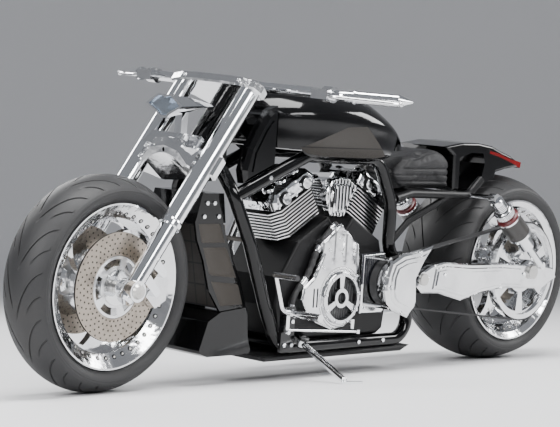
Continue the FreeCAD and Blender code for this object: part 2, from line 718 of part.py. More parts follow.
def build_headlamp():
    """A tapering housing with creased sides, open at the front for a clear lens."""
    width, height, depth = s.lamp_width, s.lamp_height, s.lamp_depth
    outer = Part.makeLoft([
        lamp_outline(-depth.value, width * 0.80, height * 0.09, 2),
        lamp_outline(-depth.value * 0.45, width * 0.90, height * 0.66, 3),
        lamp_outline(0, width, height)], True, True)
    hollow = Part.makeLoft([
        lamp_outline(-depth.value * 0.42, width * 0.70, height * 0.50, 2),
        lamp_outline(-s.bezel_depth.value, width * 0.76, height * 0.72)], True, True)
    seat = Part.makeLoft([
        lamp_outline(-s.bezel_depth.value, width * 0.84, height * 0.82),
        lamp_outline(1, width * 0.84, height * 0.82)], True, True)
    shell = outer.cut(hollow).cut(seat)
    foot_height = -s.lamp_height.value * 0.45
    bracket = block((-92, -14, foot_height - 110), (-66, 14, foot_height + 22))
    shell = shell.fuse(bracket.cut(outer))
    shell = shell.cut(clamp_space())
    shape_piece("headlamp_shell", shell, lamp_frame())
    gap = s.seat_gap * 2
    lens = Part.makeLoft([
        lamp_outline(-s.bezel_depth + s.seat_gap, width * 0.84 - gap * 2, height * 0.82 - gap * 2),
        lamp_outline(-4, width * 0.84 - gap * 2, height * 0.82 - gap * 2)], True, True)
    shape_piece("headlamp_lens", lens, lamp_frame())


def clamp_space():
    """Return the room that the lower clamp takes up, in the headlamp's frame, with its seat gap."""
    room = Part.makeBox(300, 400, 100, Vector(-150, -200, 0))
    to_lamp = lamp_frame().inverse().multiply(FORK_FRAME)
    top = s.lower_clamp_high.value + s.seat_gap.value
    room.Placement = to_lamp.multiply(Placement(Vector(0, 0, top - 100), Rotation()))
    crest = Part.makeBox(80, 240, 40, Vector(s.leg_radius.value - 6 - s.seat_gap.value, -120, 0))
    crest.Placement = to_lamp.multiply(Placement(Vector(0, 0, top - 14), Rotation()))
    return room.fuse(crest)


def build_front_axle():
    """The axle through both fork legs and the hub, with a cap at each end."""
    body = new_body("front_axle")
    sketch = new_sketch(body, "XY_Plane")
    reach = s.leg_spacing + s.slider_radius + 5 + s.seat_gap
    draw_outline(sketch, [(0, -reach - 8), (s.slider_radius - 8, -reach - 8), (s.slider_radius - 4, -reach),
                          (s.front_axle_radius, -reach), (s.front_axle_radius, reach),
                          (s.slider_radius - 4, reach), (s.slider_radius - 8, reach + 8), (0, reach + 8)])
    add_revolution(body, sketch)
    spacer = new_sketch(body, "XY_Plane")
    near, far = s.front_hub_width * 0.725 + s.seat_gap, s.leg_spacing - s.slider_radius - 5 - s.seat_gap
    for one, two in ((near, far), (-far, -near)):
        draw_outline(spacer, [(s.front_axle_radius - 1, one), (s.front_axle_radius + 6, one),
                              (s.front_axle_radius + 6, two), (s.front_axle_radius - 1, two)])
    add_revolution(body, spacer)
    finish("front_axle", body, STEER_TURN.multiply(Placement(FRONT_AXLE, Rotation())))


def build_front_calipers():
    """A caliper for each front disc, bolted to its leg's lugs and open round the disc."""
    body = new_body("front_calipers")
    outer = s.leg_spacing - s.slider_radius - 2 - s.seat_gap
    sketch = new_sketch(body, "XZ_Plane", -outer)
    outline = [(-92, 34), (-146, 28), (-166, 72), (-138, 120), (-92, 142), (-84, 88)]
    draw_outline(sketch, outline)
    block_pad = add_pad(body, sketch, outer - s.front_disc_place + 13)
    slot = new_sketch(body, "XZ_Plane", -(s.front_disc_place + s.front_disc_thick + 3))
    draw_circle(slot, 0, 0, s.front_disc_radius + 4)
    cut = add_pocket(body, slot, s.front_disc_thick + 6, backwards=True)
    mirror_across(body, [block_pad, cut])
    finish("front_calipers", body, FORK_FRAME)


def build_front_end():
    """Everything that turns with the steering, apart from the wheel."""
    build_fork_legs()
    build_clamps()
    build_handlebar()
    build_grips()
    build_levers()
    build_headlamp()
    build_front_axle()
    build_front_calipers()


def rail_points(side):
    """Return the paths of one side's two frame loops; side is 1 for left and -1 for right."""
    low, wide, upper = s.rail_height.value, s.rail_spacing.value * side, s.upper_rail_spacing.value * side
    head = steering_line(s.lower_clamp_high + 62)
    cradle = [(head.x - 24, 18 * side, head.z - 6), (1392, upper, 590), (1322, wide * 0.98, 440),
              (1246, wide, 250), (1180, wide, low), (540, wide - 8 * side, low),
              (s.pivot_x.value, upper, 300)]
    rail = [(1384, upper, 582), (1080, upper, 708), (742, upper, 702), (668, upper, 560),
            (668, upper, 420), (s.pivot_x.value, upper, 300)]
    return cradle, rail


def backbone_height():
    """Return the height of the backbone's axis, which clears the rocker covers of the leaning cylinders."""
    tall = s.fin_start.value + s.fin_count.value * s.fin_pitch.value + s.rocker_height.value
    lean = math.radians(s.bank_angle.value)
    corner = tall * math.cos(lean) + s.rocker_length.value / 2 * math.sin(lean)
    return s.crank_z.value + corner + s.backbone_radius.value + s.backbone_clear.value


def build_frame():
    """The welded frame: a steering head, a backbone, and two loops a side round the engine."""
    low_head = steering_line(s.lower_clamp_high + 1.0)
    high_head = steering_line(s.upper_clamp_low - 1.0)
    radius = s.tube_radius
    parts = [rod(low_head, high_head, s.head_tube_radius)]
    middle = steering_line((s.lower_clamp_high + s.upper_clamp_low) / 2)
    height = backbone_height()
    parts.append(tube([(middle.x - 8, 0, middle.z - 4), (1240, 0, height + 18), (1020, 0, height + 6),
                       (732, 0, height - 4)], s.backbone_radius, 120))
    for side in (1, -1):
        cradle, rail = rail_points(side)
        parts.append(tube(cradle, radius, 90))
        parts.append(tube(rail, radius, 80))
    reach = s.upper_rail_spacing.value - 5
    parts.append(rod((752, -reach, 706), (752, reach, 706), radius - 4))
    for x, z in ((1130, s.rail_height), (700, s.rail_height)):
        reach = s.rail_spacing.value - 5
        parts.append(rod((x, -reach, z), (x, reach, z), radius - 4))
    reach = s.arm_inner.value
    pivot_tube = rod((s.pivot_x, -reach + 6, s.pivot_z), (s.pivot_x, reach - 6, s.pivot_z),
                     s.pivot_radius + 8)
    parts.append(pivot_tube)
    parts += stand_bracket()
    shape = fuse_all(parts)
    bore = rod(low_head - UP_FORK * 5, high_head + UP_FORK * 5, s.stem_radius + s.pin_gap)
    shape = shape.cut(bore)
    shape = shape.cut(rod((s.pivot_x, -reach, s.pivot_z), (s.pivot_x, reach, s.pivot_z),
                          s.pivot_radius + s.pin_gap))
    shape_piece("frame_main", largest_solid(shape))


def build_seat_frame():
    """Two struts a side that run back from the main frame to carry the seat and tail."""
    radius = s.strut_radius
    parts = []
    reach = s.upper_rail_spacing.value
    start = 668 - s.tube_radius.value + 1
    for side in (1, -1):
        y = reach * side
        inner = (reach - 12) * side
        parts.append(tube([(start, y, 575), (560, inner, 590), (255, inner, 585), (190, inner, 640)],
                          radius, 60))
        parts.append(tube([(start, y, 440), (560, inner, 500), (350, inner, 584)], radius - 3, 60))
    for x, z in ((330, 585), (560, 592)):
        parts.append(rod((x, -reach + 12, z), (x, reach - 12, z), radius - 2))
    shape = fuse_all(parts)
    for side in (1, -1):
        cut = tube(rail_points(side)[1], s.tube_radius, 80)
        shape = shape.cut(cut)
    shape_piece("seat_frame", shape)


ARM_OUTLINE = [(611, 296), (598, 335), (540, 360), (474, 372), (330, 362), (166, 361), (18, 352),
               (-14, 366), (-46, 364), (-66, 348), (-128, 338), (-152, 304), (-73, 267), (156, 276),
               (276, 262), (375, 240), (494, 269), (581, 272)]
ARM_STEP = [(520, 352), (470, 359), (330, 349), (166, 348), (60, 340), (60, 284), (156, 289), (280, 275),
            (375, 254), (486, 281), (534, 284)]


def inset(points, distance):
    """Return a closed outline drawn in by a distance, with each side moved along its own normal."""
    corners = [Vector(float(p[0]), float(p[1]), 0) for p in points]
    area = sum(a.x * b.y - b.x * a.y for a, b in zip(corners, corners[1:] + corners[:1]))
    turn = 1 if area > 0 else -1
    inner = []
    for before, corner, after in zip(corners[-1:] + corners[:-1], corners, corners[1:] + corners[:1]):
        first, second = (corner - before).normalize(), (after - corner).normalize()
        normal = Vector(-first.y - second.y, first.x + second.x, 0) * turn
        lift = float(distance) * 2 / normal.dot(normal)
        inner.append((corner.x + normal.x * lift, corner.y + normal.y * lift))
    return inner


def build_swingarm():
    """The swinging arm: two shaped side plates with raised steps, a cross member, a pivot and axle bores."""
    body = new_body("swingarm")
    inner, outer = s.arm_inner, s.arm_inner + s.arm_thick
    side_plate(body, ARM_OUTLINE, inner, outer)
    soften(body, 5, lies_flat(1, outer), chamfer=True)
    side_plate(body, ARM_OUTLINE, -outer, -inner)
    soften(body, 5, lies_flat(1, -outer), chamfer=True)
    step = s.arm_step
    side_plate(body, ARM_STEP, outer - 2, outer + step)
    soften(body, step - 1, lies_flat(1, outer + step), chamfer=True)
    side_plate(body, inset(ARM_STEP, 12), outer + step - 1, outer + step * 2)
    side_plate(body, ARM_STEP, -outer - step, -outer + 2)
    for plane in (outer - 1, -outer - step):
        eye = new_sketch(body, "XZ_Plane", plane)
        draw_circle(eye, s.pivot_x, s.pivot_z, s.pivot_radius + 9)
        add_pad(body, eye, step + 1)
    cross = new_sketch(body, "XZ_Plane", inner)
    draw_outline(cross, [(398, 262), (470, 268), (470, 362), (398, 362)])
    add_pad(body, cross, inner * 2, backwards=True)
    holes = new_sketch(body, "XZ_Plane", 0)
    draw_circle(holes, s.pivot_x, s.pivot_z, s.pivot_radius + s.pin_gap)
    draw_circle(holes, 0, REAR_HEIGHT, s.rear_axle_radius + s.pin_gap)
    add_pocket(body, holes, outer * 3, symmetric=True)
    finish("swingarm", body)


def build_rear_axle():
    """The rear axle with its end nuts and spacers, and the arm's pivot bolt beside it."""
    reach = s.arm_inner + s.arm_thick
    radius = s.rear_axle_radius
    centre = REAR_HEIGHT.value
    parts = [rod((0, -reach.value, centre), (0, reach.value, centre), radius)]
    for side in (1, -1):
        parts.append(rod((0, (reach + s.seat_gap).value * side, centre),
                         (0, (reach + 12).value * side, centre), radius + 11))
        near = s.belt_place + 15 if side > 0 else s.rear_rim_width / 2 + 15
        parts.append(rod((0, (near + s.seat_gap).value * side, centre),
                         (0, (s.arm_inner - s.seat_gap).value * side, centre), radius + 6))
        parts.append(rod((0, reach.value * side, centre), (0, (reach + 1).value * side, centre), radius))
    axle = fuse_all(parts)
    past = (reach + s.arm_step + 1).value
    bolt_parts = [rod((s.pivot_x, -past, s.pivot_z), (s.pivot_x, past, s.pivot_z), s.pivot_radius)]
    for side in (1, -1):
        face = reach + s.arm_step
        bolt_parts.append(rod((s.pivot_x, (face + s.seat_gap).value * side, s.pivot_z),
                              (s.pivot_x, (face + 6).value * side, s.pivot_z), s.pivot_radius + 4))
    shape_piece("rear_axle", Part.makeCompound([axle, fuse_all(bolt_parts)]))


def bank_frame(lean):
    """Return the frame of one cylinder bank: its Z axis runs up the cylinder from the crankshaft."""
    return Placement(Vector(s.crank_x.value, 0, s.crank_z.value), Rotation(Vector(0, 1, 0), lean))


def build_bank(name, lean):
    """One bank: a finned cylinder and a rocker cover with two round caps."""
    frame = bank_frame(lean)
    top = s.fin_start + s.fin_pitch * s.fin_count
    body = new_body(f"cylinder_{name}")
    sketch = new_sketch(body, "XY_Plane", s.fin_start - 12)
    draw_circle(sketch, 0, 0, s.barrel_radius)
    add_pad(body, sketch, top - s.fin_start + 12)
    fin = new_sketch(body, "XY_Plane", s.fin_start)
    half, deep = s.fin_length / 2, s.fin_depth / 2
    corner = 30
    draw_outline(fin, [(half, -deep + corner), (half, deep - corner), (half - corner, deep),
                       (-half + corner, deep), (-half, deep - corner), (-half, -deep + corner),
                       (-half + corner, -deep), (half - corner, -deep)])
    one = add_pad(body, fin, s.fin_thick)
    rows = body.newObject("PartDesign::LinearPattern", "fins")
    rows.Originals = [one]
    axis = [feature for feature in body.Origin.OriginFeatures if feature.Role == "Z_Axis"][0]
    rows.Direction = (axis, [""])
    rows.Occurrences = int(s.fin_count.value)
    rows.setExpression("Occurrences", s.fin_count.formula)
    rows.setExpression("Length", (s.fin_pitch * (s.fin_count - 1)).formula)
    body.Tip = rows
    finish(f"cylinder_{name}", body, frame)
    head = new_body(f"rocker_cover_{name}")
    sketch = new_sketch(head, "XZ_Plane", s.rocker_depth / 2)
    long = s.rocker_length / 2
    high = top + s.rocker_height
    draw_outline(sketch, [(-long, top + 8), (-long + 12, top), (long - 12, top), (long, top + 8),
                          (long - 2, high - 22), (long - 24, high), (-long + 20, high),
                           (-long + 2, high - 26)])
    add_pad(head, sketch, s.rocker_depth, backwards=True)
    soften(head, 16, lies_flat(1, s.rocker_depth / 2))
    caps = new_sketch(head, "XZ_Plane", 4 - s.rocker_depth / 2)
    for place in (-52, 48):
        draw_circle(caps, place, top + s.rocker_height * 0.42, 19)
    add_pad(head, caps, 16, backwards=True)
    soften(head, 3, lies_flat(1, s.rocker_depth / 2 + 12))
    domes = new_sketch(head, "XY_Plane", high - 4)
    for place in (-64, 0, 60):
        draw_circle(domes, place, s.rocker_depth / 2 - 46, 21)
        draw_circle(domes, place, 46 - s.rocker_depth / 2, 21)
    add_pad(head, domes, 12)
    soften(head, 7, lies_flat(2, high + 8))
    finish(f"rocker_cover_{name}", head, frame)


def bank_point(side, up, across):
    """Return a point beside a cylinder's axis in the side view; side is 1 for the front bank."""
    turn = s.bank_angle
    x = s.crank_x + (sine(turn) * up + cosine(turn) * across) * side
    z = s.crank_z + cosine(turn) * up - sine(turn) * across
    return (x, z)


def case_outline():
    """Return the crankcase's side outline, with a flat deck for each bank."""
    bottom = s.rail_height + s.tube_radius - 4 + s.seat_gap
    deck = s.fin_start - 12 - s.seat_gap
    return [(1158, 150), (1180, 240), (1160, 330), bank_point(1, deck, 78), bank_point(1, deck, -78),
            (s.crank_x, 448), bank_point(-1, deck, -78), bank_point(-1, deck, 78), (690, 398), (660, 340),
            (648, 250), (662, 150),
            (690, bottom), (1130, bottom)]


def ring_spot(radius, angle):
    """Return a point of the round window in the timing cover, in the side view."""
    across, up = ring_point(radius, angle)
    return (s.crank_x + 20 + across, s.crank_z + up)


def build_engine():
    """The engine: a solid crankcase under two banks, with covers on its left side."""
    body = new_body("crankcase")
    half = s.case_half_width
    side_plate(body, case_outline(), -half, half)
    soften(body, 10, lies_flat(1, half))
    finish("crankcase", body)
    build_bank("front", s.bank_angle.value)
    build_bank("rear", -s.bank_angle.value)
    cover = new_body("timing_cover")
    near = half + s.seat_gap
    outline = [(1040, 330), (1002, 405), (1018, 436), (970, 466), (940, 494), (922, 496), (868, 452),
               (838, 432), (824, 340), (812, 250), (836, 202), (886, 168), (948, 160), (1018, 184),
               (1068, 224), (1090, 262), (1082, 300)]
    side_plate(cover, outline, near, near + 34)
    soften(cover, 9, lies_flat(1, near + 34))
    ring = new_sketch(cover, "XZ_Plane", -(near + 34))
    draw_circle(ring, s.crank_x + 20, s.crank_z, 84)
    add_pad(cover, ring, 10, backwards=True)
    soften(cover, 5, lies_flat(1, near + 44))
    dish = new_sketch(cover, "XZ_Plane", -(near + 44))
    draw_circle(dish, s.crank_x + 20, s.crank_z, 70)
    add_pocket(cover, dish, 18, backwards=True)
    hub = new_sketch(cover, "XZ_Plane", -(near + 25))
    draw_circle(hub, s.crank_x + 20, s.crank_z, 31)
    add_pad(cover, hub, 16, backwards=True)
    for turn in (90, 210, 330):
        spoke = new_sketch(cover, "XZ_Plane", -(near + 25))
        draw_outline(spoke, [ring_spot(26, turn - 16), ring_spot(72, turn - 9), ring_spot(72, turn + 9),
                             ring_spot(26, turn + 16)])
        add_pad(cover, spoke, 14, backwards=True)
    cup = new_sketch(cover, "XZ_Plane", -(near + 41))
    draw_circle(cup, s.crank_x + 20, s.crank_z, 19)
    add_pocket(cover, cup, 12, backwards=True)
    finish("timing_cover", cover)
    gearbox = new_body("transmission_case")
    side_plate(gearbox, [(806, 396), (700, 402), (668, 340), (664, 240), (700, 205), (806, 205)],
               near, near + 26)
    soften(gearbox, 8, lies_flat(1, near + 26))
    finish("transmission_case", gearbox)
    guard = new_body("pulley_cover")
    outline = [(552, 430), (607, 417), (705, 403), (760, 378), (777, 334), (782, 289), (770, 247),
               (741, 223), (664, 197), (655, 210), (634, 228), (626, 248), (632, 323), (598, 375)]
    inner = s.arm_inner + s.arm_thick + s.seat_gap
    side_plate(guard, outline, inner, inner + 16)
    post = near + 26 + s.seat_gap
    posts = new_sketch(guard, "XZ_Plane", -post)
    draw_circle(posts, 752, 386, 7)
    draw_circle(posts, 746, 232, 7)
    add_pad(guard, posts, inner - post + 1, backwards=True)
    soften(guard, 7, lies_flat(1, inner + 16), chamfer=True)
    step = [(588, 406), (612, 398), (694, 388), (742, 370), (758, 334), (762, 290), (752, 257), (728, 239),
            (668, 216), (648, 238), (646, 254), (652, 328), (626, 378)]
    side_plate(guard, step, inner + 14, inner + 20)
    soften(guard, 3, lies_flat(1, inner + 20), chamfer=True)
    top = [(642, 379), (690, 373), (730, 358), (743, 331), (747, 291), (739, 266), (722, 252), (674, 234),
           (663, 246), (661, 258), (667, 332)]
    side_plate(guard, top, inner + 19, inner + 24)
    finish("pulley_cover", guard)


def build_intake():
    """The ribbed intake cover that stands in the left side of the vee."""
    body = new_body("intake_cover")
    near = s.fin_depth / 2 + s.seat_gap
    side_plate(body, [(922, 560), (868, 560), (822, 632), (968, 632)], 20, near)
    top = s.fin_start + s.fin_pitch * s.fin_count
    face = -(s.rocker_length / 2 + s.seat_gap)
    side_plate(body, [(s.crank_x + 40, 592), bank_point(1, top + 12, face), bank_point(1, top + 30, face),
                      (s.crank_x + 40, 650), (s.crank_x - 40, 650), bank_point(-1, top + 30, face),
                      bank_point(-1, top + 12, face), (s.crank_x - 40, 592)], -24, 24)
    side_plate(body, [(936, 634), (903, 642), (860, 640), (806, 606), (830, 590), (872, 514),
                              (936, 514), (968, 592)], near, near + 26)
    soften(body, 9, lies_flat(1, near + 26))
    side_plate(body, [(918, 622), (866, 620), (834, 604), (880, 530), (926, 528), (948, 592)],
               near + 24, near + 34)
    soften(body, 7, lies_flat(1, near + 34), chamfer=True)
    finish("intake_cover", body)


def build_engine_room():
    """The engine, its covers and its intake."""
    build_engine()
    build_intake()


def build_belt():
    """The drive belt: two straight runs and the wraps round both pulleys."""
    wide, thick = s.belt_width.value, s.belt_thick.value
    big = s.pulley_radius.value + s.seat_gap.value
    small = s.drive_pulley_radius.value
    near = s.belt_place.value - wide / 2
    rear = Vector(0, near, REAR_HEIGHT.value)
    front = Vector(s.drive_pulley_x.value, near, s.drive_pulley_z.value)
    span = front - rear
    lean = math.atan2(span.z, span.x)
    slope = math.asin((big - small) / span.Length)

    def loop(extra):
        points = []
        for centre, radius, turn in ((rear, big + extra, 1), (front, small + extra, -1)):
            for side in (1, -1):
                angle = lean + side * (math.pi / 2 - slope)
                points.append(centre + Vector(math.cos(angle), 0, math.sin(angle)) * radius)
            away = lean + (math.pi if turn > 0 else 0)
            points.append(centre + Vector(math.cos(away), 0, math.sin(away)) * radius)
        rear_high, rear_low, rear_end, front_high, front_low, front_end = points
        return Part.Wire([Part.LineSegment(rear_high, front_high).toShape(),
                          Part.Arc(front_high, front_end, front_low).toShape(),
                          Part.LineSegment(front_low, rear_low).toShape(),
                          Part.Arc(rear_low, rear_end, rear_high).toShape()])

    belt = Part.Face(loop(thick)).cut(Part.Face(loop(0))).extrude(Vector(0, wide, 0))
    shape_piece("drive_belt", belt)
    drum = Part.makeCylinder(small - s.seat_gap.value, wide, front, Vector(0, 1, 0))
    shaft = rod((front.x, s.case_half_width + 26 + s.seat_gap, front.z), (front.x, near, front.z), 24)
    shape_piece("front_pulley", fuse_all([drum, shaft]))


def build_radiator():
    """The radiator core, the black shroud with its side vanes, and the chin spoiler below."""
    core = Part.Face(Part.makePolygon([Vector(x, -s.core_half.value, z) for x, z in (
        (1446, 486), (1392, 494), (1340, 250), (1396, 240), (1446, 486))
    ])).extrude(Vector(0, 2 * s.core_half.value, 0))
    ears = []
    for side in (1, -1):
        ears.append(rod((1391, 84 * side, 456), (1332, 134 * side, 450), 7))
    core = fuse_all([core] + ears)
    for side in (1, -1):
        core = core.cut(tube(rail_points(side)[0], s.tube_radius + s.seat_gap, 90))
    shape_piece("radiator_core", largest_solid(core))
    shroud = new_body("radiator_shroud")
    outline = [(1525, 507), (1410, 509), (1398, 470), (1368, 408), (1318, 318), (1290, 242), (1400, 232),
               (1452, 300), (1480, 387), (1512, 451)]
    side_plate(shroud, outline, s.core_half + s.seat_gap, s.core_half + 9)
    side_plate(shroud, outline, -s.core_half - 9, -s.core_half - s.seat_gap)
    side_plate(shroud, [(1500, 589), (1412, 589), (1398, 500), (1524, 498)],
               -s.core_half - 9, s.core_half + 9)
    finish("radiator_shroud", shroud)
    chin = new_body("chin_spoiler")
    side_plate(chin, [(1486, 112), (1452, 205), (1400, 231.7), (1290, 241.7), (1280, 150), (1262, 98),
                      (1450, 98)],
               -112, 112)
    soften(chin, 12, runs_along(Vector(0, 1, 0)))
    finish("chin_spoiler", chin)


def build_belly_pan():
    """The black pan under the engine, which seats on the lower frame tubes from below."""
    pan = new_body("belly_pan")
    top = s.rail_height - s.tube_radius - s.seat_gap
    half = s.rail_spacing + 10
    side_plate(pan, [(552, top), (1266, top), (1236, top - 18), (596, top - 18)], -half, half)
    soften(pan, 6, lies_flat(1, half, -half), chamfer=True)
    finish("belly_pan", pan)


def build_exhaust():
    """Two pipes on the right, one from each cylinder, into a pair of straight silencers."""
    radius = 21
    side = -(s.arm_inner + s.arm_thick + 43).value
    port = -(s.fin_depth / 2 + s.seat_gap).value
    front = tube([(1068, port, 520), (1068, -160, 520), (1090, -196, 400), (1020, -214, 270),
                  (930, side, 184), (700, side, 170)], radius, 50)
    rear = tube([(722, port, 520), (722, -166, 520), (730, -196, 420), (690, -222, 330),
                 (620, side, 262), (500, side, 258)], radius, 50)
    low = rod((760, side, 170), (70, side, 170), 38)
    high = rod((560, side, 258), (40, side, 258), 38)
    shape_piece("exhaust", fuse_all([front, low, rear, high]))


def tank_section(x, top, low, half, waist):
    """Return a closed smooth wire across X = x: a domed top, a waist, and a full lower flank."""
    points = [(0, top), (half * 0.42, top - (top - low) * 0.04), (half * 0.78, top - (top - low) * 0.17),
              (half, waist + (top - waist) * 0.35), (half * 0.99, waist),
               (half * 0.93, low + (waist - low) * 0.2),
              (half * 0.82, low)]
    ring = points + [(-y, z) for y, z in reversed(points[1:])]
    curve = Part.BSplineCurve()
    curve.interpolate([Vector(x, y, z) for y, z in ring], PeriodicFlag=True)
    return Part.Wire([curve.toShape()])


TANK_SECTIONS = [(1214, 874, 728, 84, 800), (1160, 908, 700, 138, 795), (1080, 922, 696, 166, 790),
                 (940, 920, 694, 180, 785), (800, 898, 692, 172, 775), (700, 848, 694, 148, 765),
                 (620, 790, 704, 106, 745), (572, 752, 716, 70, 735)]
PANEL_OUTLINE = [(1134, 734), (1034, 774), (959, 802), (868, 806), (800, 756), (750, 712), (800, 706),
                 (1040, 708), (1108, 716)]


def panel_room(skin, extra):
    """Return the space of a mesh panel let into each flank of the tank, grown by extra all round."""
    outline = inset(PANEL_OUTLINE, -extra)
    room = Part.Face(Part.makePolygon([Vector(x, 100, z) for x, z in outline + outline[:1]]))
    room = room.extrude(Vector(0, 100, 0))
    inside = skin.translated(Vector(0, -s.panel_depth.value - extra, 0))
    return room.cut(inside)


def build_tank():
    """A long teardrop tank over the backbone and rails, with a mesh panel let into each flank."""
    skin = Part.makeLoft([tank_section(*section) for section in TANK_SECTIONS], True, False)
    rails = 708 + s.tube_radius.value + s.seat_gap.value
    tunnel = block((500, -44, 600), (1400, 44, backbone_height() + s.backbone_radius.value + 22))
    wide = s.upper_rail_spacing + s.tube_radius + s.seat_gap * 3
    seat = block((500, -wide, 600), (1400, wide, rails))
    panels = []
    tank = skin.cut(tunnel).cut(seat)
    for room, pocket in zip(both_sides(panel_room(skin, 0)), both_sides(panel_room(skin, s.seat_gap.value))):
        tank = tank.cut(pocket)
        panels.append(largest_solid(room.common(skin)))
    shape_piece("fuel_tank", largest_solid(tank))
    shape_piece("tank_panels", Part.makeCompound(panels))


def above_rail(x):
    """Return the point just over the upper frame tube's front slope at a place along the motorcycle."""
    (front_x, _, front_z), (back_x, _, back_z) = rail_points(1)[1][:2]
    slope = (back_z - front_z) / (front_x - back_x)
    edge = 6.0
    lift = math.sqrt((s.tube_radius.value + s.seat_gap.value) ** 2 - edge ** 2)
    over = lift / math.cos(math.atan(slope))
    return (x, front_z + (front_x - x) * slope + over)


def build_neck_panels():
    """The gloss side panels that carry the tank's line forward to the steering head, joined by a bridge."""
    outline = [above_rail(1346), (1356, 660), (1334, 730), (1290, 800), (1250, 846), (1217, 858),
               above_rail(1217)]
    body = new_body("neck_panels")
    near, far = 92, 130
    for one, two in ((near, far), (-far, -near)):
        side_plate(body, outline, one, two)
    soften(body, 12, lies_flat(1, far, -far), chamfer=True)
    ledge = [(1322, 656), (1312, 712), (1270, 782), (1243, 812), (1243, 694)]
    side_plate(body, ledge, far - 2, far + 4)
    side_plate(body, ledge, -far - 4, 2 - far)
    bridge = new_sketch(body, "XZ_Plane", near + 1)
    draw_outline(bridge, [(1226, 820), (1254, 814), (1254, 828), (1226, 842)])
    add_pad(body, bridge, (near + 1) * 2, backwards=True)
    finish("neck_panels", body)


def build_seat_and_tail():
    """The seat pad, and the short tail over the tyre: a hood on a front wall and a rear pillar."""
    seat = new_body("seat")
    side_plate(seat, [(646, 656), (612, 676), (560, 712), (475, 733), (418, 741), (374, 726), (341, 700),
                      (334, 604.3), (600, 604.3)], -112, 112)
    soften(seat, 18, lies_flat(1, 112, -112))
    finish("seat", seat)
    half = s.tail_half_width
    tail = new_body("tail_fender")
    side_plate(tail, [(328, 600), (332, 716), (384, 748), (284, 762), (197, 763), (124, 754), (76, 738),
                      (18, 722), (-30, 700), (-24, 684), (40, 676), (96, 664), (116, 606), (300, 600)],
               -half, half)
    soften(tail, 10, lies_flat(1, half, -half))
    window = new_sketch(tail, "XZ_Plane")
    draw_outline(window, [(300, 590), (302, 712), (236, 730), (176, 728), (164, 694), (178, 640), (206, 590)])
    add_pocket(tail, window, half * 3, symmetric=True)
    arch = new_sketch(tail, "XZ_Plane")
    draw_circle(arch, 0, REAR_HEIGHT, s.rear_tyre_radius + s.moving_gap * 2)
    add_pocket(tail, arch, half * 3, symmetric=True)
    strip = [(140, 739), (140, 729), (78, 716), (20, 700), (-40, 680), (-44, 700), (20, 712), (78, 728)]
    groove = new_sketch(tail, "XZ_Plane")
    draw_outline(groove, inset(strip, -s.seat_gap))
    add_pocket(tail, groove, half * 3, symmetric=True)
    finish("tail_fender", tail)
    lamp = new_body("tail_lamp")
    side_plate(lamp, strip, 3 - half, half - 3)
    finish("tail_lamp", lamp)


STAND_PIVOT = Vector(s.stand_pivot_x.value, s.stand_pivot_y.value, s.stand_pivot_z.value)


def upright(point):
    """Return a point of the leaning motorcycle's world as it lies in the upright frame."""
    return LEAN.inverse().multVec(Vector(*point))


STAND_FOOT = upright((s.stand_foot_x.value, s.stand_foot_y.value, s.stand_radius.value + 1))
STAND_OUT = (STAND_FOOT - STAND_PIVOT).normalize()
# Folded, the leg points back, a little outward to clear the rail and a little down. The tilt of its pin
# that this gives makes the motorcycle's weight press the leg against its stop when it is out.
STAND_BACK = Vector(-1, 0.28, -0.12).normalize()
STAND_AXIS = STAND_OUT.cross(STAND_BACK).normalize()
EYE_HEIGHT = 20.0


def stand_bracket():
    """Return the frame's lug over the stand's eye, with the pin and its head below."""
    gap = s.seat_gap.value
    top = STAND_PIVOT + STAND_AXIS * (EYE_HEIGHT / 2 + gap)
    foot = STAND_PIVOT - STAND_AXIS * (EYE_HEIGHT / 2 + gap)
    lug = Part.makeCylinder(17, 9, top, STAND_AXIS)
    rail = Vector(0, s.rail_spacing.value, s.rail_height.value)
    inward = Vector(1, 0, 0).cross(STAND_AXIS).normalize()
    band = [top, top + STAND_AXIS * 9, top + STAND_AXIS * 9 + inward * 46, rail + Vector(0, 0, 43),
            rail + Vector(0, -6, 11), rail + Vector(0, 14, 9), rail + Vector(0, 17, 25), top + inward * 30]
    band = [Vector(STAND_PIVOT.x - 15, corner.y, corner.z) for corner in band]
    arm = Part.Face(Part.makePolygon(band + band[:1])).extrude(Vector(30, 0, 0))
    arm = arm.cut(Part.makeCylinder(20, 40, top, STAND_AXIS * -1))
    pin = Part.makeCylinder(7, EYE_HEIGHT + 2 * gap + 2, foot - STAND_AXIS, STAND_AXIS)
    head = Part.makeCylinder(12, 6, foot, STAND_AXIS * -1)
    return [arm, lug, pin, head]


def build_stand():
    """The side stand: a pivot eye, a round leg and a flat foot that rests on the ground."""
    eye_low = STAND_PIVOT - STAND_AXIS * (EYE_HEIGHT / 2)
    eye = Part.makeCylinder(15, EYE_HEIGHT, eye_low, STAND_AXIS)
    leg = rod(STAND_PIVOT + STAND_OUT * 8, STAND_FOOT, s.stand_radius - 1)
    knee = Part.makeSphere(s.stand_radius.value - 1, STAND_FOOT)
    sole = Part.makeBox(66, 26, 8, Vector(-8, -13, 0))
    sole = sole.makeFillet(8, [e for e in sole.Edges if runs_along(Vector(0, 0, 1))(e)])
    sole.Placement = LEAN.inverse().multiply(
        Placement(Vector(s.stand_foot_x.value, s.stand_foot_y.value, 0), Rotation(Vector(0, 0, 1), 134)))
    shape = fuse_all([eye, leg, knee, sole])
    shape = shape.cut(Part.makeCylinder(7 + s.pin_gap.value, EYE_HEIGHT + 20,
                                        eye_low - STAND_AXIS * 10, STAND_AXIS))
    shape_piece("stand_leg", shape)


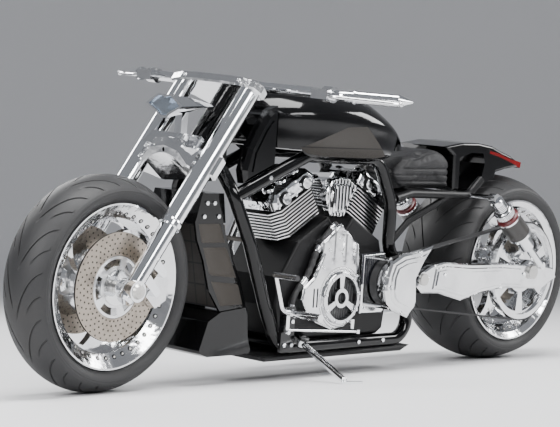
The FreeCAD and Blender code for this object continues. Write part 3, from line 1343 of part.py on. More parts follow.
def build_shocks():
    """Two air shocks beside the tyre, each a collar, a knurled ring, a black can and a polished rod."""
    top = Vector(255, 0, 585)
    low = Vector(-32, 0, 350)
    along = low - top
    frame = Placement(top, Rotation(Vector(0, 0, 1), along))
    body = new_body("shocks")
    place = s.arm_inner + s.arm_thick + 15
    sketch = new_sketch(body, "XZ_Plane", -place)
    reach = as_size(along.Length)
    draw_outline(sketch, [(0, 8), (20, 8), (24, 14), (24, 56), (30, 60), (34, 66), (34, 88), (30, 94),
                          (38, 98), (41, 106), (41, 196), (38, 204), (26, 206), (26, 262), (14, 272),
                          (14, reach - 8), (0, reach - 8)])
    can = add_revolution(body, sketch)
    eyes = new_sketch(body, "XZ_Plane", -(s.arm_inner + s.arm_thick + s.seat_gap))
    draw_circle(eyes, 0, 0, 15)
    draw_circle(eyes, 0, reach, 13)
    ends = add_pad(body, eyes, 26, backwards=True)
    bolt = new_sketch(body, "XZ_Plane", -(s.upper_rail_spacing - 12 + s.strut_radius + s.seat_gap))
    draw_circle(bolt, 0, 0, 9)
    pin = add_pad(body, bolt, place - 9 - (s.upper_rail_spacing - 12 + s.strut_radius) + 2, backwards=True)
    mirror_across(body, [can, ends, pin])
    finish("shocks", body, frame)


def build_rear_brake():
    """A disc on the rear hub's right face, and a caliper held by the right arm."""
    body = new_body("rear_disc")
    face = s.rear_rim_width / 2 + 15 + s.seat_gap
    sketch = new_sketch(body, "XZ_Plane", face)
    draw_circle(sketch, 0, 0, s.rear_disc_radius)
    draw_circle(sketch, 0, 0, s.rear_axle_radius + 7)
    add_pad(body, sketch, s.rear_disc_thick)
    finish("rear_disc", body, REAR_WHEEL_FRAME)
    outer = -(face + s.rear_disc_thick)
    caliper = new_body("rear_caliper")
    outline = [(88, 372), (128, 350), (166, 352), (162, 402), (118, 430), (84, 410)]
    side_plate(caliper, outline, -s.arm_inner + s.seat_gap, -face + 12)
    slot = new_sketch(caliper, "XZ_Plane", face - 3)
    draw_circle(slot, 0, REAR_HEIGHT, s.rear_disc_radius + 4)
    add_pocket(caliper, slot, s.rear_disc_thick + 6, backwards=True)
    finish("rear_caliper", caliper)


def build_foot_controls():
    """Forward pegs on brackets from the lower rails, a shift lever with its rod, and a brake pedal."""
    rail, low = s.rail_spacing.value, s.rail_height.value
    outer = rail + s.tube_radius.value + s.seat_gap.value
    parts = [block((1138, outer, low - 10), (1196, outer + 10, 246)),
             rod((1158, outer + 8, 226), (1158, 296, 226), s.peg_radius)]
    parts.append(tube([(1184, outer + 34, 232), (1222, outer + 34, 238), (1262, outer + 34, 350)], 7, 30))
    parts.append(rod((1184, outer + 5, 232), (1184, outer + 40, 232), 11))
    parts.append(rod((1262, outer + 30, 350), (1262, 288, 350), 9))
    side = fuse_all(parts)
    link = [rod((1184, outer + 20, 176), (856, outer + 20, 156), 4),
            block((1177, outer + 16, 166), (1191, outer + 25, 240)),
            block((850, s.case_half_width + 34 + s.seat_gap * 2, 150), (864, outer + 25, 162)),
            block((850, s.case_half_width + 34 + s.seat_gap * 2, 150), (864, 160, 192))]
    left = fuse_all([side] + link)
    shape_piece("foot_controls", Part.makeCompound([left, side.mirror(Vector(0, 0, 0), Vector(0, 1, 0))]))


# The pieces are built in the motorcycle's own frame, then moved together so that the origin lies on the
# ground under the middle of the whole.
build_wheels()
build_front_end()
build_frame()
build_seat_frame()
build_swingarm()
build_rear_axle()
build_engine_room()
build_belt()
build_radiator()
build_belly_pan()
build_exhaust()
build_tank()
build_neck_panels()
build_seat_and_tail()
build_stand()
build_shocks()
build_rear_brake()
build_foot_controls()

doc.recompute()
whole = FreeCAD.BoundBox()
for piece in PIECES.values():
    tight = piece.Shape.optimalBoundingBox(False, False)
    whole.add(tight)
SHIFT = Vector(-whole.Center.x, -whole.Center.y, 0)
for piece in PIECES.values():
    piece.Placement = Placement(SHIFT, Rotation()).multiply(piece.Placement)
doc.recompute()
for item in doc.Objects:
    if "Invalid" in item.State or "Error" in item.State:
        raise RuntimeError(f"{item.Label} was not built: {item.State}")
for label, piece in PIECES.items():
    if piece.Shape.isNull() or not piece.Shape.isValid():
        raise RuntimeError(f"{label} has no valid shape")
    piece.Shape.exportStep(f"parts/{label}.step")
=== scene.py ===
import json
from functools import partialmethod
from math import cos, pi, radians, sin, sqrt
import bmesh
import bpy
import numpy as np
from mathutils import Matrix, Vector


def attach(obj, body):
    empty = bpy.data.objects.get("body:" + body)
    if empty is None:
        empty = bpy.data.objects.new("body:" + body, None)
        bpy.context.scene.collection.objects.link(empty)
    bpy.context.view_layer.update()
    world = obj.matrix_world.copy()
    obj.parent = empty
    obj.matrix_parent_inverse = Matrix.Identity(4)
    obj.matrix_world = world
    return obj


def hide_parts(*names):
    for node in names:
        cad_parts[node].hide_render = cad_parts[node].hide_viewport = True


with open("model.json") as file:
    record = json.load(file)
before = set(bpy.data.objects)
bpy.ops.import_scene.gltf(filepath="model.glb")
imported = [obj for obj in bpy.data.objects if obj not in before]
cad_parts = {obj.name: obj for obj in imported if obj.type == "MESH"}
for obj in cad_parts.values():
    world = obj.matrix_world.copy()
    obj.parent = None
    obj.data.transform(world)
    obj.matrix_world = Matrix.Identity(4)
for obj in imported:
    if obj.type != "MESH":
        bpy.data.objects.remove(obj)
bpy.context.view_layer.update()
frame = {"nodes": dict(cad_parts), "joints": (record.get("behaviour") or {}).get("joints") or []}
nodes = frame["nodes"]
joints = {joint["name"]: joint for joint in frame["joints"]}


# The motorcycle's own axes. It leans on its stand, so its upright frame is found again from the rear axle,
# which lies level across it.
REAR_AXLE = np.array(joints["rear_wheel_spin"]["pos_m"])
ACROSS = np.array(joints["rear_wheel_spin"]["axis"])
AHEAD = np.array([1.0, 0.0, 0.0])
UPWARD = np.cross(AHEAD, ACROSS)
REAR_AXLE_HEIGHT = 326.32
BIKE = np.stack([AHEAD, ACROSS, UPWARD])


def place(points):
    """Points in millimetres of the upright motorcycle, from under the rear axle, as metres of the scene."""
    points = np.asarray(points, float) - [0, 0, REAR_AXLE_HEIGHT]
    return REAR_AXLE + points / 1000 @ BIKE


# The camera stands at the front left, low and far off, with a long lens, as in the photograph. It looks
# almost level and is rolled half a degree.
TURN, ROLL = radians(46.18), radians(-0.50)
RISE = 0.0005
FOCAL_LENGTH, SENSOR_WIDTH = 128.5, 36
FROM_REAR_AXLE = (5.603, 4.3832, 0.1863)

view = Vector((-sin(TURN), -cos(TURN), RISE)).normalized()
side = view.cross(Vector((0, 0, 1))).normalized()
top = side.cross(view)
right = side * cos(ROLL) + top * sin(ROLL)
above = top * cos(ROLL) - side * sin(ROLL)
lens = bpy.data.cameras.new("studio_camera")
lens.lens, lens.sensor_width, lens.clip_end = FOCAL_LENGTH, SENSOR_WIDTH, 60
camera = bpy.data.objects.new("studio_camera", lens)
axes = Matrix((right, above, -view)).transposed().to_4x4()
camera.matrix_world = Matrix.Translation(Vector(REAR_AXLE) + Vector(FROM_REAR_AXLE)) @ axes
bpy.context.collection.objects.link(camera)
bpy.context.scene.camera = camera


# The studio: a pale paper floor that runs up into a round wall 15 m off, softboxes overhead and beside, and
# an even dim room.
def add_mesh(name, points, faces, smooth=True):
    """A mesh object at the origin from an array of points in metres and an array or list of faces."""
    faces = faces.tolist() if isinstance(faces, np.ndarray) else faces
    mesh = bpy.data.meshes.new(name)
    mesh.from_pydata(np.asarray(points).tolist(), [], faces)
    mesh.validate()
    mesh.polygons.foreach_set("use_smooth", np.full(len(mesh.polygons), smooth))
    piece = bpy.data.objects.new(name, mesh)
    bpy.context.collection.objects.link(piece)
    return piece


def grid_faces(rows, columns, closed_rows=False, closed_columns=True):
    """Quads of a grid of rows by columns points, with the last row or column joined to the first if closed."""
    i, j = np.meshgrid(np.arange(rows if closed_rows else rows - 1),
                       np.arange(columns if closed_columns else columns - 1), indexing="ij")
    i, j = i.ravel(), j.ravel()
    down, across = (i + 1) % rows, (j + 1) % columns
    return np.stack([i * columns + j, down * columns + j, down * columns + across, i * columns + across], 1)


WALL, BEND, WALL_TOP = 15.0, 4.0, 9.0
PAPER_COLOUR, ROOM_COLOUR = (0.80, 0.80, 0.81, 1), (0.27, 0.28, 0.30, 1)

arc = np.radians(np.linspace(0, 90, 13))
profile = np.concatenate([[[0.02, 0.0], [5.0, 0.0]],
                          np.stack([WALL - BEND + BEND * np.sin(arc), BEND - BEND * np.cos(arc)], 1),
                          [[WALL, WALL_TOP]]])
around = np.linspace(0, 2 * np.pi, 97)[:-1]
sweep = np.stack([np.outer(profile[:, 0], np.cos(around)), np.outer(profile[:, 0], np.sin(around)),
                  np.repeat(profile[:, 1:], len(around), 1)], 2)
floor = add_mesh("studio_floor", sweep.reshape(-1, 3), grid_faces(len(profile), len(around))[:, ::-1])
paper = bpy.data.materials.new("pale_paper")
paper.use_nodes = True
paper_surface = paper.node_tree.nodes["Principled BSDF"].inputs
paper_surface["Base Color"].default_value, paper_surface["Roughness"].default_value = PAPER_COLOUR, 0.85
floor.data.materials.append(paper)

room = bpy.data.worlds.new("studio_room")
room.use_nodes = True
room.node_tree.nodes["Background"].inputs["Color"].default_value = ROOM_COLOUR
bpy.context.scene.world = room
for name, where, aim, size, power in (
        ("softbox_over", (0.6, 0.8, 4.2), (0, 0, 0.4), (3.4, 1.5), 290),
        ("softbox_front", (4.2, 0.4, 2.4), (0.3, 0, 0.5), (0.9, 2.4), 125),
        ("softbox_left", (0.2, 4.6, 2.6), (0, 0, 0.5), (3.2, 1.0), 155),
        ("softbox_back", (-3.6, 1.6, 2.2), (-0.5, 0, 0.5), (1.0, 2.0), 100),
        ("softbox_right", (-0.5, -4.0, 2.8), (0, 0, 0.5), (3.0, 1.2), 140)):
    lamp = bpy.data.lights.new(name, "AREA")
    lamp.shape, lamp.size, lamp.size_y, lamp.energy = "RECTANGLE", size[0], size[1], power
    light = bpy.data.objects.new(name, lamp)
    heading = Vector(aim) - Vector(where)
    light.matrix_world = Matrix.Translation(where) @ heading.to_track_quat("-Z", "Y").to_matrix().to_4x4()
    bpy.context.collection.objects.link(light)


# Surface effects that the finishes share. Grain gives fine pits and brushing as a height, and ripples the soft
# waves that hand polishing leaves. Wear gives a mask of rubbed and dusty places, from large soft patches broken
# by small ones.
class Level:
    """A number, colour or place that changes over a surface. Arithmetic on it adds math nodes: plus, minus, times
    and remainder, | for the greater of two, above and below for masks that are 1 past a limit, and bearing for
    the angle whose tangent is one level over another."""

    def __init__(self, socket):
        self.socket = socket
        self.tree = socket.id_data

    def work_out(self, operation, *others):
        """The level that one math node works out of this one and others, each a level or a number."""
        node = self.tree.nodes.new("ShaderNodeMath")
        node.operation = operation
        for socket, term in zip(node.inputs, (self, *others)):
            feed(socket, term)
        return Level(node.outputs[0])

    __add__ = partialmethod(work_out, "ADD")
    __sub__ = partialmethod(work_out, "SUBTRACT")
    __mul__ = partialmethod(work_out, "MULTIPLY")
    __mod__ = partialmethod(work_out, "MODULO")
    __abs__ = partialmethod(work_out, "ABSOLUTE")
    __or__ = partialmethod(work_out, "MAXIMUM")
    above = partialmethod(work_out, "GREATER_THAN")
    below = partialmethod(work_out, "LESS_THAN")
    bearing = partialmethod(work_out, "ARCTAN2")

    def between(self, low, high):
        """A mask that is 1 where the level is over one number and under another."""
        return self.above(low) * self.below(high)

    def wave(self, turn):
        """The sine of the level times turn, in radians."""
        return (self * turn).work_out("SINE")

    def away(self, other):
        """The distance from where two levels are 0: the root of the sum of their squares."""
        return (self * self + other * other).work_out("POWER", 0.5)

    def spread(self, low, high, to_low=0.0, to_high=1.0):
        """The level with low..high stretched to to_low..to_high, and held at the ends."""
        node = self.tree.nodes.new("ShaderNodeMapRange")
        for label, value in zip(("Value", "From Min", "From Max", "To Min", "To Max"),
                                (self, low, high, to_low, to_high)):
            feed(node.inputs[label], value)
        return Level(node.outputs[0])

    def noise(self, scale, detail, roughness=0.55):
        """The level of a noise at this place."""
        node = self.tree.nodes.new("ShaderNodeTexNoise")
        for label, value in (("Vector", self), ("Scale", scale), ("Detail", detail), ("Roughness", roughness)):
            feed(node.inputs[label], value)
        return Level(node.outputs["Fac"])

    def along(self, direction, origin):
        """How far in millimetres this place lies from an origin along a direction."""
        offset, length = (self.tree.nodes.new("ShaderNodeVectorMath") for _ in range(2))
        offset.operation, length.operation = "SUBTRACT", "DOT_PRODUCT"
        feed(offset.inputs[0], self)
        feed(offset.inputs[1], tuple(origin))
        feed(length.inputs[0], Level(offset.outputs[0]))
        feed(length.inputs[1], tuple(np.asarray(direction) * 1000))
        return Level(length.outputs["Value"])


def feed(socket, value):
    """Link a level to a socket, or write a value in it."""
    if isinstance(value, Level):
        value.tree.links.new(value.socket, socket)
    else:
        socket.default_value = value


def effect_group(name, numbers, outputs):
    """A node group of a place and numbers: the group, its levels in by name, and its sockets out."""
    group = bpy.data.node_groups.new(name, "ShaderNodeTree")
    group.interface.new_socket("Place", in_out="INPUT", socket_type="NodeSocketVector")
    for label in numbers:
        group.interface.new_socket(label, in_out="INPUT", socket_type="NodeSocketFloat")
    for label in outputs:
        group.interface.new_socket(label, in_out="OUTPUT", socket_type="NodeSocketFloat")
    given = {socket.name: Level(socket) for socket in group.nodes.new("NodeGroupInput").outputs}
    return group, given, group.nodes.new("NodeGroupOutput").inputs


grain, given, leave = effect_group("surface_grain", ["Fine", "Coarse"], ["Height"])
fine = given["Place"].noise(given["Fine"], 2.0, 0.6)
coarse = given["Place"].noise(given["Coarse"], 4.0, 0.6)
feed(leave["Height"], fine + coarse * 0.4)

ripples, given, leave = effect_group("polishing_ripples", ["Waves"], ["Height"])
feed(leave["Height"], given["Place"].noise(given["Waves"], 2.0, 0.5))

wear, given, leave = effect_group("surface_wear", ["Patch", "Speck", "Low", "High"], ["Mask"])
patch = given["Place"].noise(given["Patch"], 3.0)
speck = given["Place"].noise(given["Speck"], 3.0, 0.7)
feed(leave["Mask"], (patch * 0.7 + speck * 0.3).spread(given["Low"], given["High"]))


ORIGIN = place((0.0, 0.0, 0.0))


class Finish:
    """One material: a Principled surface whose colour, roughness and bump vary by the shared effects.
    It goes from colour to worn, and from the first to the second of rough, where the wear's noise of scale
    patch is within worn_at. Its grain is a noise of scale grained, embossed by bump."""
    SPECKS_TO_PATCHES, COARSE_TO_FINE, GRAIN_DEPTH = 14, 12, 0.0004

    def __init__(self, name, colour, worn, rough, bump, grained, metal=1.0, patch=9.0, worn_at=(0.52, 0.75)):
        self.material = bpy.data.materials.new(name)
        self.material.use_nodes = True
        self.tree = self.material.node_tree
        self.surface = self.tree.nodes["Principled BSDF"].inputs
        self.place = Level(self.tree.nodes.new("ShaderNodeTexCoord").outputs["Object"])
        self.metal, self.bump = metal, None
        feed(self.surface["Metallic"], metal)
        mask = self.effect(wear, Patch=patch, Speck=patch * self.SPECKS_TO_PATCHES, Low=worn_at[0],
                           High=worn_at[1])["Mask"]
        self.colour = self.blend(mask, colour, worn)
        feed(self.surface["Base Color"], self.colour)
        self.rough = mask.spread(0.0, 1.0, *rough)
        feed(self.surface["Roughness"], self.rough)
        pits = self.effect(grain, Fine=grained, Coarse=grained / self.COARSE_TO_FINE)["Height"]
        self.emboss(pits, bump, self.GRAIN_DEPTH)

    def effect(self, group, **values):
        """Place a shared effect in the material with its own values, and give its levels by name."""
        node = self.tree.nodes.new("ShaderNodeGroup")
        node.node_tree = group
        for label, value in (("Place", self.place), *values.items()):
            feed(node.inputs[label], value)
        return {socket.name: Level(socket) for socket in node.outputs}

    def blend(self, mask, first, second):
        """A mix of two colours, each a triple or a level, by a mask."""
        mix = self.tree.nodes.new("ShaderNodeMix")
        mix.data_type = "RGBA"
        feed(mix.inputs["Factor"], mask)
        for label, value in (("A", first), ("B", second)):
            socket = [s for s in mix.inputs if s.name == label and s.type == "RGBA"][0]
            feed(socket, (*value, 1) if isinstance(value, tuple) else value)
        return Level([s for s in mix.outputs if s.type == "RGBA"][0])

    def repaint(self, mask, colour, rough=None):
        """Lay a second colour, and if given a roughness, over what is there where the mask is 1."""
        self.colour = self.blend(mask, self.colour, colour)
        feed(self.surface["Base Color"], self.colour)
        if rough is not None:
            step = self.tree.nodes.new("ShaderNodeMix")
            for index, value in ((0, mask), (2, self.rough), (3, rough)):
                feed(step.inputs[index], value)
            self.rough = Level(step.outputs[0])
            feed(self.surface["Roughness"], self.rough)

    def paint(self, mask, colour, rough):
        """Repaint and take the metal out where the mask is 1."""
        self.repaint(mask, colour, rough)
        self.metal = mask.below(0.5) * self.metal
        feed(self.surface["Metallic"], self.metal)

    def along(self, direction, origin=ORIGIN):
        """The level of how far in millimetres the surface lies from an origin along a direction."""
        return self.place.along(direction, origin)

    def emboss(self, height, strength, depth):
        """Add a bump of a height level over what is there."""
        bump = self.tree.nodes.new("ShaderNodeBump")
        for label, value in (("Strength", strength), ("Distance", depth), ("Height", height)):
            feed(bump.inputs[label], value)
        if self.bump:
            feed(bump.inputs["Normal"], self.bump)
        self.bump = Level(bump.outputs["Normal"])
        feed(self.surface["Normal"], self.bump)

    def ripple(self, scale, strength, depth):
        """Add the soft waves that hand polishing leaves, as a bump of coarse noise."""
        self.emboss(self.effect(ripples, Waves=scale)["Height"], strength, depth)


def dress(finish, *labels):
    """Give CAD nodes one finish."""
    for label in labels:
        nodes[label].data.materials.clear()
        nodes[label].data.materials.append(finish.material)


# The painted pieces: the frame of welded steel tube, and the tank, neck panels, tail, spoiler and shroud of
# formed sheet, sprayed gloss black under lacquer with faint orange peel and dust. The seat frame, crankcase,
# rear caliper and belly pan are satin black.
black_gloss = Finish(
    "gloss_black_paint", (0.0022, 0.0022, 0.0025), (0.006, 0.006, 0.0065), metal=0.0, rough=(0.08, 0.17),
    bump=0.05, grained=420.0, patch=3.0, worn_at=(0.5, 0.85))
feed(black_gloss.surface["Coat Weight"], 0.1)
feed(black_gloss.surface["Coat Roughness"], 0.03)
feed(black_gloss.surface["Specular IOR Level"], 0.32)
dress(black_gloss, "frame_main", "fuel_tank", "neck_panels", "tail_fender", "chin_spoiler", "radiator_shroud")
black_satin = Finish(
    "satin_black_paint", (0.006, 0.006, 0.0065), (0.016, 0.016, 0.0165), metal=0.0, rough=(0.38, 0.55),
    bump=0.15, grained=700.0, patch=6.0)
feed(black_satin.surface["Specular IOR Level"], 0.22)
dress(black_satin, "seat_frame", "crankcase", "rear_caliper", "belly_pan")


# The swinging arm, rims, clamps, levers, calipers, pulleys and the pulleys' cover: aluminium polished to a
# mirror, with faint hand-polishing swirls and duller patches.
polished = Finish(
    "polished_aluminium", (0.80, 0.805, 0.81), (0.66, 0.665, 0.68), rough=(0.07, 0.22), bump=0.10,
    grained=260.0, worn_at=(0.42, 0.7))
polished.ripple(26.0, 0.35, 0.006)
dress(polished, "lower_clamp", "upper_clamp", "swingarm", "front_rim", "rear_rim", "pulley_cover", "bar_levers",
      "front_calipers", "rear_pulley", "front_pulley")


# Fork legs, handlebar, headlamp shell, exhaust pipes, grips and stand: steel tube and castings with bright
# plating, nearly a mirror.
chrome = Finish(
    "chrome_plate", (0.86, 0.87, 0.885), (0.80, 0.81, 0.83), rough=(0.035, 0.10), bump=0.02, grained=200.0,
    patch=6.0, worn_at=(0.5, 0.85))
dress(chrome, "fork_legs", "handlebar", "headlamp_shell", "exhaust", "grips", "stand_leg")


# The axles: steel turned and ground, left bare and oiled, with brown-grey stains. The rims' rivets are of the
# same steel.
steel = Finish(
    "ground_steel", (0.60, 0.59, 0.57), (0.42, 0.40, 0.37), rough=(0.28, 0.42), bump=0.25, grained=800.0,
    patch=12.0)
dress(steel, "front_axle", "rear_axle")


# The cylinders: cast aluminium painted black, with the edge of each fin cut bright afterwards. They lean 30
# degrees each way from the crank.
CRANK = place((895.0, 0.0, 262.0))
BANK_LEAN = {"front": radians(30), "rear": radians(-30)}
FIRST_FIN, FIN_PITCH = 262.0, 11.0
FIN_EDGE = (0.3, 4.2)
DARK_PAINT_AND_SHADE = (0.010, 0.010, 0.011)


def bank_ways(lean):
    """The directions up along a cylinder bank and square over it, from how far it leans ahead."""
    return (sin(lean) * AHEAD + cos(lean) * UPWARD, cos(lean) * AHEAD - sin(lean) * UPWARD)


for bank, lean in BANK_LEAN.items():
    fins = Finish(
        "bright_edges_cylinder_" + bank, (0.82, 0.825, 0.83), (0.66, 0.665, 0.67), rough=(0.20, 0.36), bump=0.2,
        grained=500.0)
    up_bank = fins.along(bank_ways(lean)[0], CRANK)
    on_fin = (up_bank - FIRST_FIN) % FIN_PITCH
    fins.paint(on_fin.below(FIN_EDGE[0]) | on_fin.above(FIN_EDGE[1]), DARK_PAINT_AND_SHADE, 0.5)
    dress(fins, "cylinder_" + bank)


# The timing cover: polished like the other covers, with the floor of its round window painted dark grey behind
# upright slats, so that the three spokes and the hub stand out bright. Painted shade darkens the gaps between the
# slats, the creases on its upper face, its two stepped grooves and two pockets beside the window.
RING_CENTRE = place((915.0, 0.0, 262.0))
WINDOW_RADIUS, WINDOW_FLOOR = 70.6, (140.0, 156.0)
RING_GROOVES, UPPER_FACE = ((88.5, 91.0), (97.5, 99.5)), (104.0, 150.0)
SLATS, FOLDS = 0.55, 0.12
POCKETS, POCKET_HEIGHT = ((104.0, 111.0), (120.0, 127.0)), (-26.0, 34.0)

cover = Finish(
    "windowed_cover", (0.79, 0.795, 0.80), (0.62, 0.625, 0.64), rough=(0.07, 0.22), bump=0.10, grained=260.0,
    worn_at=(0.42, 0.7))
ring_ahead, ring_up = cover.along(AHEAD, RING_CENTRE), cover.along(UPWARD, RING_CENTRE)
from_ring = ring_ahead.away(ring_up)
window = from_ring.below(WINDOW_RADIUS) * cover.along(ACROSS).between(*WINDOW_FLOOR)
slats = ring_ahead.wave(SLATS)
cover.paint(window, (0.045, 0.046, 0.048), 0.42)
# Painted shade: the gaps between the slats are darkened to near black.
cover.repaint(window * slats.below(-0.25), (0.008, 0.008, 0.008))
cover.emboss(window * slats, 0.6, 0.002)
shaded_step_grooves = from_ring.between(*RING_GROOVES[0]) + from_ring.between(*RING_GROOVES[1])
upper_face = ring_up.spread(*UPPER_FACE)
fold = ring_ahead.wave(FOLDS)
# Painted shade in the troughs of the creases on the upper face.
cover.repaint(upper_face * fold.below(-0.88), (0.26, 0.262, 0.27), 0.3)
# Painted shade in the two stepped grooves round the ring, which are also embossed.
cover.repaint(shaded_step_grooves, (0.20, 0.20, 0.21), 0.3)
cover.emboss(upper_face * fold - shaded_step_grooves, 0.45, 0.004)
cover.ripple(30.0, 0.35, 0.006)
# Painted shade: two dark patches beside the ring stand for the shaded pockets.
pocket_shade = (ring_ahead.between(*POCKETS[0]) + ring_ahead.between(*POCKETS[1])) * ring_up.between(*POCKET_HEIGHT)
cover.repaint(pocket_shade, (0.03, 0.031, 0.033), 0.4)
dress(cover, "timing_cover")


# The rocker covers: plated castings that cap the cylinders, each with two round caps set in dark seals on its
# left side.
CAPS_UP, CAPS_OVER = 385.4, (-52.0, 48.0)
CAP_SEAL, CAP_FACE = (18.9, 23.0), 97.0

for bank, lean in BANK_LEAN.items():
    rocker = Finish(
        "plated_rocker_cover_" + bank, (0.86, 0.87, 0.885), (0.78, 0.79, 0.81), rough=(0.05, 0.14), bump=0.05,
        grained=220.0)
    rocker.ripple(30.0, 0.4, 0.008)
    up_bank, over_bank = (rocker.along(way, CRANK) for way in bank_ways(lean))
    seals = [(up_bank - CAPS_UP).away(over_bank - over).between(*CAP_SEAL) for over in CAPS_OVER]
    seal = (seals[0] | seals[1]) * rocker.along(ACROSS).below(CAP_FACE)
    rocker.paint(seal, (0.012, 0.012, 0.013), 0.4)
    dress(rocker, "rocker_cover_" + bank)


# The intake cover: a polished casting in the vee, with upright flutes over its left face and, near its front,
# one slot drawn only as a patch of painted shade.
FLUTED_FROM, FLUTES = 84.0, 0.42
SLOT_AHEAD, SLOT_HEIGHT = (36.0, 43.0), (545.0, 622.0)

intake = Finish(
    "fluted_intake_cover", (0.88, 0.885, 0.89), (0.78, 0.785, 0.80), rough=(0.07, 0.18), bump=0.08,
    grained=260.0)
intake_ahead = intake.along(AHEAD, CRANK)
intake_side = intake.along(ACROSS).above(FLUTED_FROM)
intake.emboss(intake_side * intake_ahead.wave(FLUTES), 0.9, 0.004)
# Painted shade: a dark patch where the slot is.
slot_shade = intake_side * intake_ahead.between(*SLOT_AHEAD) * intake.along(UPWARD).between(*SLOT_HEIGHT)
intake.paint(slot_shade, DARK_PAINT_AND_SHADE, 0.4)
dress(intake, "intake_cover")


# The transmission case between the covers: cast aluminium painted black, with bright upright cooling ribs on
# its upper half.
RIB_PITCH, FURROW_WIDTH, RIBBED_FROM = 9.0, 4.2, 300.0

gear_case = Finish(
    "ribbed_gear_case", (0.86, 0.865, 0.875), (0.74, 0.745, 0.76), rough=(0.12, 0.24), bump=0.15, grained=300.0)
from_behind = gear_case.along(AHEAD, CRANK) + 400.0
furrow = gear_case.along(UPWARD).above(RIBBED_FROM) * (from_behind % RIB_PITCH).below(FURROW_WIDTH)
gear_case.paint(furrow, (0.015, 0.016, 0.024), 0.4)
dress(gear_case, "transmission_case")


# The foot controls: polished levers and pegs with turned grip grooves, darkened as painted shade, bolted to
# the frame on brackets in gloss black.
GRIP_FROM, GROOVE_PITCH, GROOVE_WIDTH = 206.0, 9.0, 1.3
BRACKET_OUT, BRACKET_AHEAD = 172.5, (1136.0, 1198.0)

controls = Finish(
    "grooved_foot_controls", (0.88, 0.885, 0.89), (0.76, 0.765, 0.78), rough=(0.08, 0.2), bump=0.1,
    grained=300.0)
to_side = abs(controls.along(ACROSS))
grip_groove_shade = to_side.above(GRIP_FROM) * (to_side % GROOVE_PITCH).below(GROOVE_WIDTH)
bracket = to_side.below(BRACKET_OUT) * controls.along(AHEAD).between(*BRACKET_AHEAD)
# Painted shade in the grip grooves; the brackets below are their real gloss black.
controls.paint(grip_groove_shade, (0.03, 0.03, 0.032), 0.4)
controls.paint(bracket, (0.004, 0.004, 0.0045), 0.15)
dress(controls, "foot_controls")


# The shocks: plated rings round the collar with painted shade in the grooves between them, a knurled ring to set
# the spring, a dark red band of the spring and a can anodised dark grey, told apart along the shock's own axis.
SHOCK_TOP, SHOCK_FOOT, SHOCK_OUT = np.array([255.0, 0.0, 585.0]), np.array([-32.0, 0.0, 350.0]), 226.0
COLLAR, COLLAR_PITCH, COLLAR_GROOVE = (28.0, 66.0), 7.0, 2.6
KNURLED, KNURLS = (66.0, 88.0), 36.0
SPRING_BAND, CAN = (89.0, 105.0), (112.0, 190.0)

shock_plate = Finish(
    "banded_shock_plate", (0.86, 0.87, 0.885), (0.78, 0.79, 0.81), rough=(0.06, 0.16), bump=0.05, grained=300.0)
slope = (SHOCK_FOOT - SHOCK_TOP) / np.linalg.norm(SHOCK_FOOT - SHOCK_TOP)
down_shock = shock_plate.along(slope @ BIKE, place(SHOCK_TOP))
up_shock = shock_plate.along(np.cross(slope, [0.0, 1.0, 0.0]) @ BIKE, place(SHOCK_TOP))
out_shock = abs(shock_plate.along(ACROSS)) - SHOCK_OUT
knurl = up_shock.bearing(out_shock).wave(KNURLS) * down_shock.between(*KNURLED)
collar_groove_shade = (down_shock % COLLAR_PITCH).below(COLLAR_GROOVE) * down_shock.between(*COLLAR)
# Painted shade in the grooves between the collar's rings.
shock_plate.paint(collar_groove_shade, (0.02, 0.02, 0.022), 0.4)
shock_plate.paint(down_shock.between(*SPRING_BAND), (0.085, 0.005, 0.007), 0.34)
shock_plate.paint(down_shock.between(*CAN), (0.026, 0.024, 0.022), 0.34)
shock_plate.emboss(knurl, 0.8, 0.0016)
dress(shock_plate, "shocks")


# The tank's side panels: fine brown-grey mesh, woven of crossed wires 2.4 mm apart, with painted shade between
# the wires, pressed over the tank's sides, parted by one dark slit. The shroud's openings have the same mesh in a
# paler shade.
WIRES = 2.6
SLIT_HEIGHT = (735.0, 738.5)

woven, given, leave = effect_group("woven_mesh", ["Wires"], ["Height", "GapShade"])
warp, weft = (given["Place"].along(way, (0.0, 0.0, 0.0)).wave(given["Wires"]) for way in (AHEAD, UPWARD))
crossed = warp + weft
feed(leave["Height"], crossed)
feed(leave["GapShade"], crossed.below(-0.9))


def woven_finish(name, colour, worn, gap_shade, rough, relief, specular):
    """A finish of woven mesh: painted darker between its wires as shade, raised by relief where the wires cross.
    """
    finish = Finish(name, colour, worn, metal=0.0, rough=rough, bump=0.3, grained=420.0, patch=8.0)
    weave = finish.effect(woven, Wires=WIRES)
    # Painted shade between the wires, where the weave's height is lowest.
    finish.repaint(weave["GapShade"], gap_shade)
    finish.emboss(weave["Height"], relief, 0.0008)
    feed(finish.surface["Specular IOR Level"], specular)
    return finish


shroud_cloth = woven_finish("brown_grey_mesh", (0.062, 0.055, 0.048), (0.085, 0.076, 0.067), (0.028, 0.025, 0.022),
                            rough=(0.50, 0.66), relief=0.5, specular=0.25)
panel_cloth = woven_finish("tank_panel_mesh", (0.036, 0.032, 0.028), (0.052, 0.046, 0.041), (0.018, 0.016, 0.014),
                           rough=(0.40, 0.55), relief=0.4, specular=0.18)
panel_cloth.repaint(panel_cloth.along(UPWARD).between(*SLIT_HEIGHT), (0.008, 0.008, 0.008), 0.6)
dress(panel_cloth, "tank_panels")


# The radiator: a block of thin brown-grey fins across its whole front, with painted shade between the fins,
# parted into cells by black tubes and tanks, and clamped in the shroud.
CORE_CORNER = place((0.0, -140.0, 240.0))
CELL_WIDTH, CELL_HEIGHT, BAR, FINS = 46.0, 64.0, 5.0, 2.1

